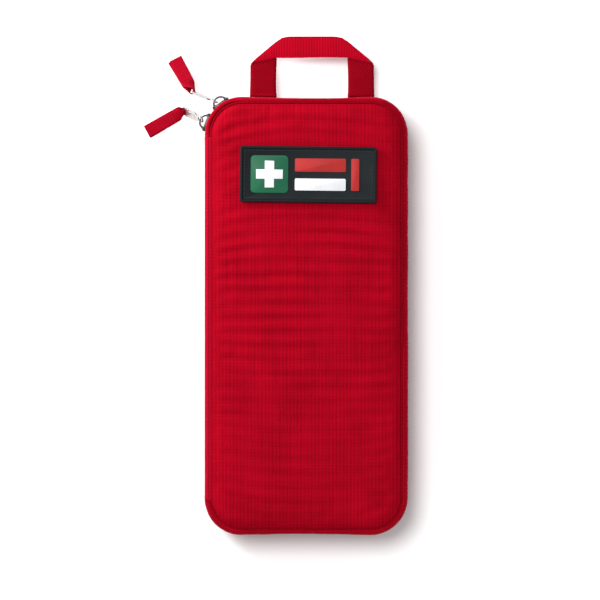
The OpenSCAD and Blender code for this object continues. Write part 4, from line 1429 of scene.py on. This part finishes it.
def straps():
    """Two elastic straps over the packs, sewn to the walls."""
    lo, hi = mm_box("elastic_straps")
    foot, top, wall_x = lo[2] + 0.6, hi[2] - 0.5, 60.5
    parts, places = [], []
    for y in (22.0, -24.0):
        half = [(54, y, top), (wall_x, y, hi[2] - 5), (wall_x, y, foot), (wall_x + 1, y, foot - 0.2)]
        path = rounded_path([(-x, y, z) for x, y, z in half[::-1]] + half, 5, 1.5)
        for p in path:
            if p[2] > hi[2] - 2:
                p[2] -= 0.35 * math.cos(math.pi * p[0] / 122) ** 2
        parts.append(ribbon("strap", path, [(0, 1, 0)] * len(path), 19.6, 0.9, M["elastic"], edge=0.12))
        for x in (-1, 1):
            for z in (lo[2] + 2.0, lo[2] + 4.0):
                places += stitch_line((x * 61.1, y - 8.5, z), (x * 61.1, y + 8.5, z), (x, 0, 0), 2.4)
    dress(join("elastic_strap_pair", parts), "base", "elastic_straps")
    dress(stitches("strap_stitches", places, M["thread_black"]), "base")


wipes()
bandage("bandage_roll_left", "conforming_bandage_left", "gauze")
bandage("bandage_roll_right", "conforming_bandage_right", "gauze")
bandage("crepe_roll", "crepe_bandage", "crepe")
ampoules()
plaster_box()
tape_roll()
dividers()
straps()


# ---- things in the cover ----


def net(name, lo, hi, z, cell, bar, thick, mat):
    """Knitted mesh with real holes: staggered eight-sided openings."""
    size = hi[:2] - lo[:2]
    cols, rows = max(2, int(size[0] / cell)), max(2, int(size[1] / (cell * 0.87)))
    half = size / (cols, rows) / 2
    verts, faces = [], []
    for j, i in np.ndindex(rows, cols):
        x, y = lo[:2] + half * (2 * i + 1, 2 * j + 1)
        sag = 0.25 * math.sin(math.pi * (x - lo[0]) / size[0]) * math.sin(math.pi * (y - lo[1]) / size[1])
        skew = 0.12 * ((i + j) % 2 * 2 - 1)
        outer, inner = [], []
        for a in circle(8) + math.pi / 8:
            ux, uy = math.cos(a), math.sin(a)
            reach = max(abs(ux), abs(uy))
            outer.append((x + half[0] * ux / reach, y + half[1] * uy / reach))
            inner.append((x + (half[0] - bar) * (ux + skew * uy) / 0.98,
                          y + (half[1] - bar) * (uy - skew * ux) / 0.98))
        base = len(verts)
        verts += [(*p, z - sag + lift) for lift in (0, thick) for p in outer + inner]
        for k in range(8):
            n = (k + 1) % 8
            quads = (k, n, 8 + n, 8 + k), (16 + k, 24 + k, 24 + n, 16 + n), (8 + k, 8 + n, 24 + n, 24 + k)
            faces += [[base + q for q in quad] for quad in quads]
    return make(name, verts, faces, mat, smooth=False)


def pocket():
    """Net pocket in an elastic wall, open at the top, with a bound and stitched edge."""
    lo, hi = mm_box("mesh_pocket")
    x0, x1, y0, z0, z1 = lo[0] + 0.6, hi[0] - 0.6, lo[1] + 0.6, lo[2], hi[2]
    sheet = net("pocket_net", lo + 1, hi - 1, z0 + 0.25, 3.4, 0.62, 0.4, M["mesh"])
    section = [(0.6, z0 + 0.1), (-0.5, z0), (-0.65, z0 + 2.5), (-0.6, z1), (0.5, z1), (0.55, z0 + 1.3)]
    rings = []
    for x, y, _ in rounded_path([(x0, hi[1], 0), (x0, y0, 0), (x1, y0, 0), (x1, hi[1], 0)], 5, 1.0):
        inward = Vector((-x, lo[1] + 60 - y)).normalized()
        rings.append([(x + inward.x * a, y + inward.y * a, z) for a, z in section])
    rim = dress(loft("pocket_wall", rings, M["elastic"]), "cover", ())
    dress(sheet, "cover", "mesh_pocket")
    lo, hi = mm_box("pocket_binding")
    y, z = (lo[1] + hi[1]) / 2, (lo[2] + hi[2]) / 2
    pts = [(x, y, z - 0.25 * math.sin(math.pi * (x - lo[0]) / (hi[0] - lo[0])))
           for x in np.linspace(lo[0], hi[0], 40)]
    dress(tube("pocket_edge_binding", pts, 1.05, M["spine"], sides=10, flat=0.9), "cover", "pocket_binding")
    ends = [(x, y - 0.2, lo[2] - 0.12) for x in (lo[0] + 2, hi[0] - 2)]
    dress(stitches("pocket_binding_stitches", stitch_line(*ends, (0, 0, -1)), M["thread"]), "cover")


def booklet():
    """Pages between two covers, with a plain cross and two plain bars on the front."""
    lo, hi = mm_box("first_aid_booklet")
    (cx, cy, _), size, z0, z1 = (lo + hi) / 2, hi - lo, lo[2], hi[2]
    pages = slab("booklet_block", size - 1, 2, z0 + 0.25, z1 - 0.25, M["pages"], move(cx, cy), bevel=0.2)
    dress(pages, "cover", "first_aid_booklet")
    parts = [slab("sheet", size, 2.5, z, z + 0.3, M["cover_green"], move(cx, cy), bevel=0.1)
             for z in (z0, z1 - 0.3)]
    print_z = z0 - 0.06, z0 + 0.02
    parts.append(stacked("cross", [(plus(8.0, 24.0), z) for z in print_z], move(cx, cy + 12), M["white"]))
    for k, width in enumerate((60, 46)):
        parts.append(slab("bar", (width, 4), 1, *print_z, M["white"], move(cx, cy - 32 - 9 * k), bevel=0.02))
    dress(join("booklet_cover", parts), "cover")


def tool_loops():
    """Elastic loops that hold the tools to the lining."""
    top = CEILING_Z
    parts = []
    for cx, cy, w, h in ((-40.5, 50, 11.4, 4.1), (48, 75, 12, 6.4), (48, 115, 12, 6.4)):
        a, low = w / 2 + 0.5, top - h - 0.45
        half = [(a, low), (a, top - 0.6), (a + 3.2, top - 0.5)]
        path = [(-x, z) for x, z in half[::-1]] + half
        path = rounded_path([(cx + x, cy, z) for x, z in path], 1.2, 0.6)
        parts.append(ribbon("loop", path, [(0, 1, 0)] * len(path), 9.7, 0.85, M["elastic"], edge=0.15))
    dress(join("tool_loop_bands", parts), "cover", "tool_loops")


def tweezers():
    """Two bowed arms that meet at the root and narrow to the tips."""
    lo, hi = mm_box("tweezers")
    cx, z = (lo[0] + hi[0]) / 2, (lo[2] + hi[2]) / 2
    parts = []
    for side in (-1, 1):
        points, wide = [], []
        for t in np.linspace(0, 1, 31):
            bow = 2.5 * math.sin(math.pi * min(1.0, t * 1.02) ** 0.8) * (1 - 0.25 * t)
            points.append((cx + side * (0.75 + bow + 0.25 * t), hi[1] - (hi[1] - lo[1]) * t, z))
            wide.append(4.0 - 2.6 * step01(t, 0.72, 1.0))
        parts.append(ribbon("arm", points, [(0, 0, 1)] * len(points), wide, 1.0, M["steel"], edge=0.3))
    dress(join("tweezer_arms", parts), "cover", "tweezers")


SHANK_Y = 0.052, 0.0505  # metres: the dipped plastic of the handles starts between these


def shears_material():
    """Steel blades and, past the shank, the dipped plastic of the finger rings."""
    s = Shader("Shears_steel_and_plastic")
    vec = s.coords("Object")
    dipped = s.ramp(s.axes(vec)[1], *SHANK_Y)
    brushed = s.noise(s.stretch(vec, (2600, 240, 900)), 1.0, 3.0)
    slow = s.noise(vec, 220.0, 2.0)
    steel = s.blend(s.ramp(brushed, 0.3, 0.7), (0.3, 0.31, 0.33), (0.42, 0.43, 0.44))
    plastic = s.blend(s.ramp(slow, 0.3, 0.7), (0.03, 0.032, 0.036), (0.06, 0.063, 0.068))
    rough = s.mix(dipped, s.ramp(brushed, 0.3, 0.7, 0.2, 0.38), s.ramp(slow, 0.3, 0.7, 0.42, 0.6))
    return s.set(Base_Color=s.blend(dipped, steel, plastic), Metallic=s.math("SUBTRACT", 1.0, dipped),
                 Roughness=rough, Normal=s.bump(brushed, 0.000002, 0.2))


pocket()
booklet()
tool_loops()
tweezers()
SHEARS = shears_material()
eased("shears_fixed_blade", "shears_fixed_half", "cover", SHEARS, 0.35, 3)
eased("shears_moving_blade", "shears_moving_half", "shears_blade", SHEARS, 0.35, 3)
eased("shears_pivot_rivet", "shears_rivet", "cover", M["nickel"], 0.25)


# ---- floor, light, camera ----

CAMERA_HEIGHT, VIEW_WIDTH = 6.0, 0.45  # metres


def floor():
    s = Shader("Floor_white", Roughness=0.9, Specular_IOR_Level=0.05)
    grain = s.noise(s.coords("Object"), 4.0)
    mat = s.set(Base_Color=s.blend(grain, (0.95, 0.95, 0.95), (0.97, 0.97, 0.97)))
    half, z = 3000, -0.6
    corners = [(-half, -half, z), (half, -half, z), (half, half, z), (-half, half, z)]
    make("floor", corners, [(0, 1, 2, 3)], mat, smooth=False)


def lights():
    """White surroundings, a soft key from above and a small low light from the left."""
    SCENE.world = bpy.data.worlds.new("World")
    SCENE.world.use_nodes = True
    background = SCENE.world.node_tree.nodes["Background"].inputs
    background["Color"].default_value = (1, 1, 1, 1)
    background["Strength"].default_value = 0.56
    key = bpy.data.lights.new("key", "SUN")
    key.energy, key.angle = 2.05, math.radians(19)
    side = bpy.data.lights.new("side", "AREA")
    side.energy, side.size = 5.2, 0.3
    for data, place in ((key, (-0.19, 0.21, 1.0)), (side, (-0.5, 0.4, 0.27))):
        lamp = link(data.name, data)
        lamp.rotation_mode = "QUATERNION"
        lamp.rotation_quaternion = Vector(place).to_track_quat("Z", "Y")
        lamp.location = place


def camera():
    """Straight down from far off, so that every part shows nearly in plan."""
    cam = bpy.data.cameras.new("camera")
    cam.sensor_width = 36.0
    cam.lens = cam.sensor_width * (CAMERA_HEIGHT - 0.03) / VIEW_WIDTH
    cam.clip_end = 20
    SCENE.camera = link("camera", cam)
    SCENE.camera.location = (-0.0047, 0.0119, CAMERA_HEIGHT)
    SCENE.view_settings.view_transform = "Standard"


floor()
lights()
camera()
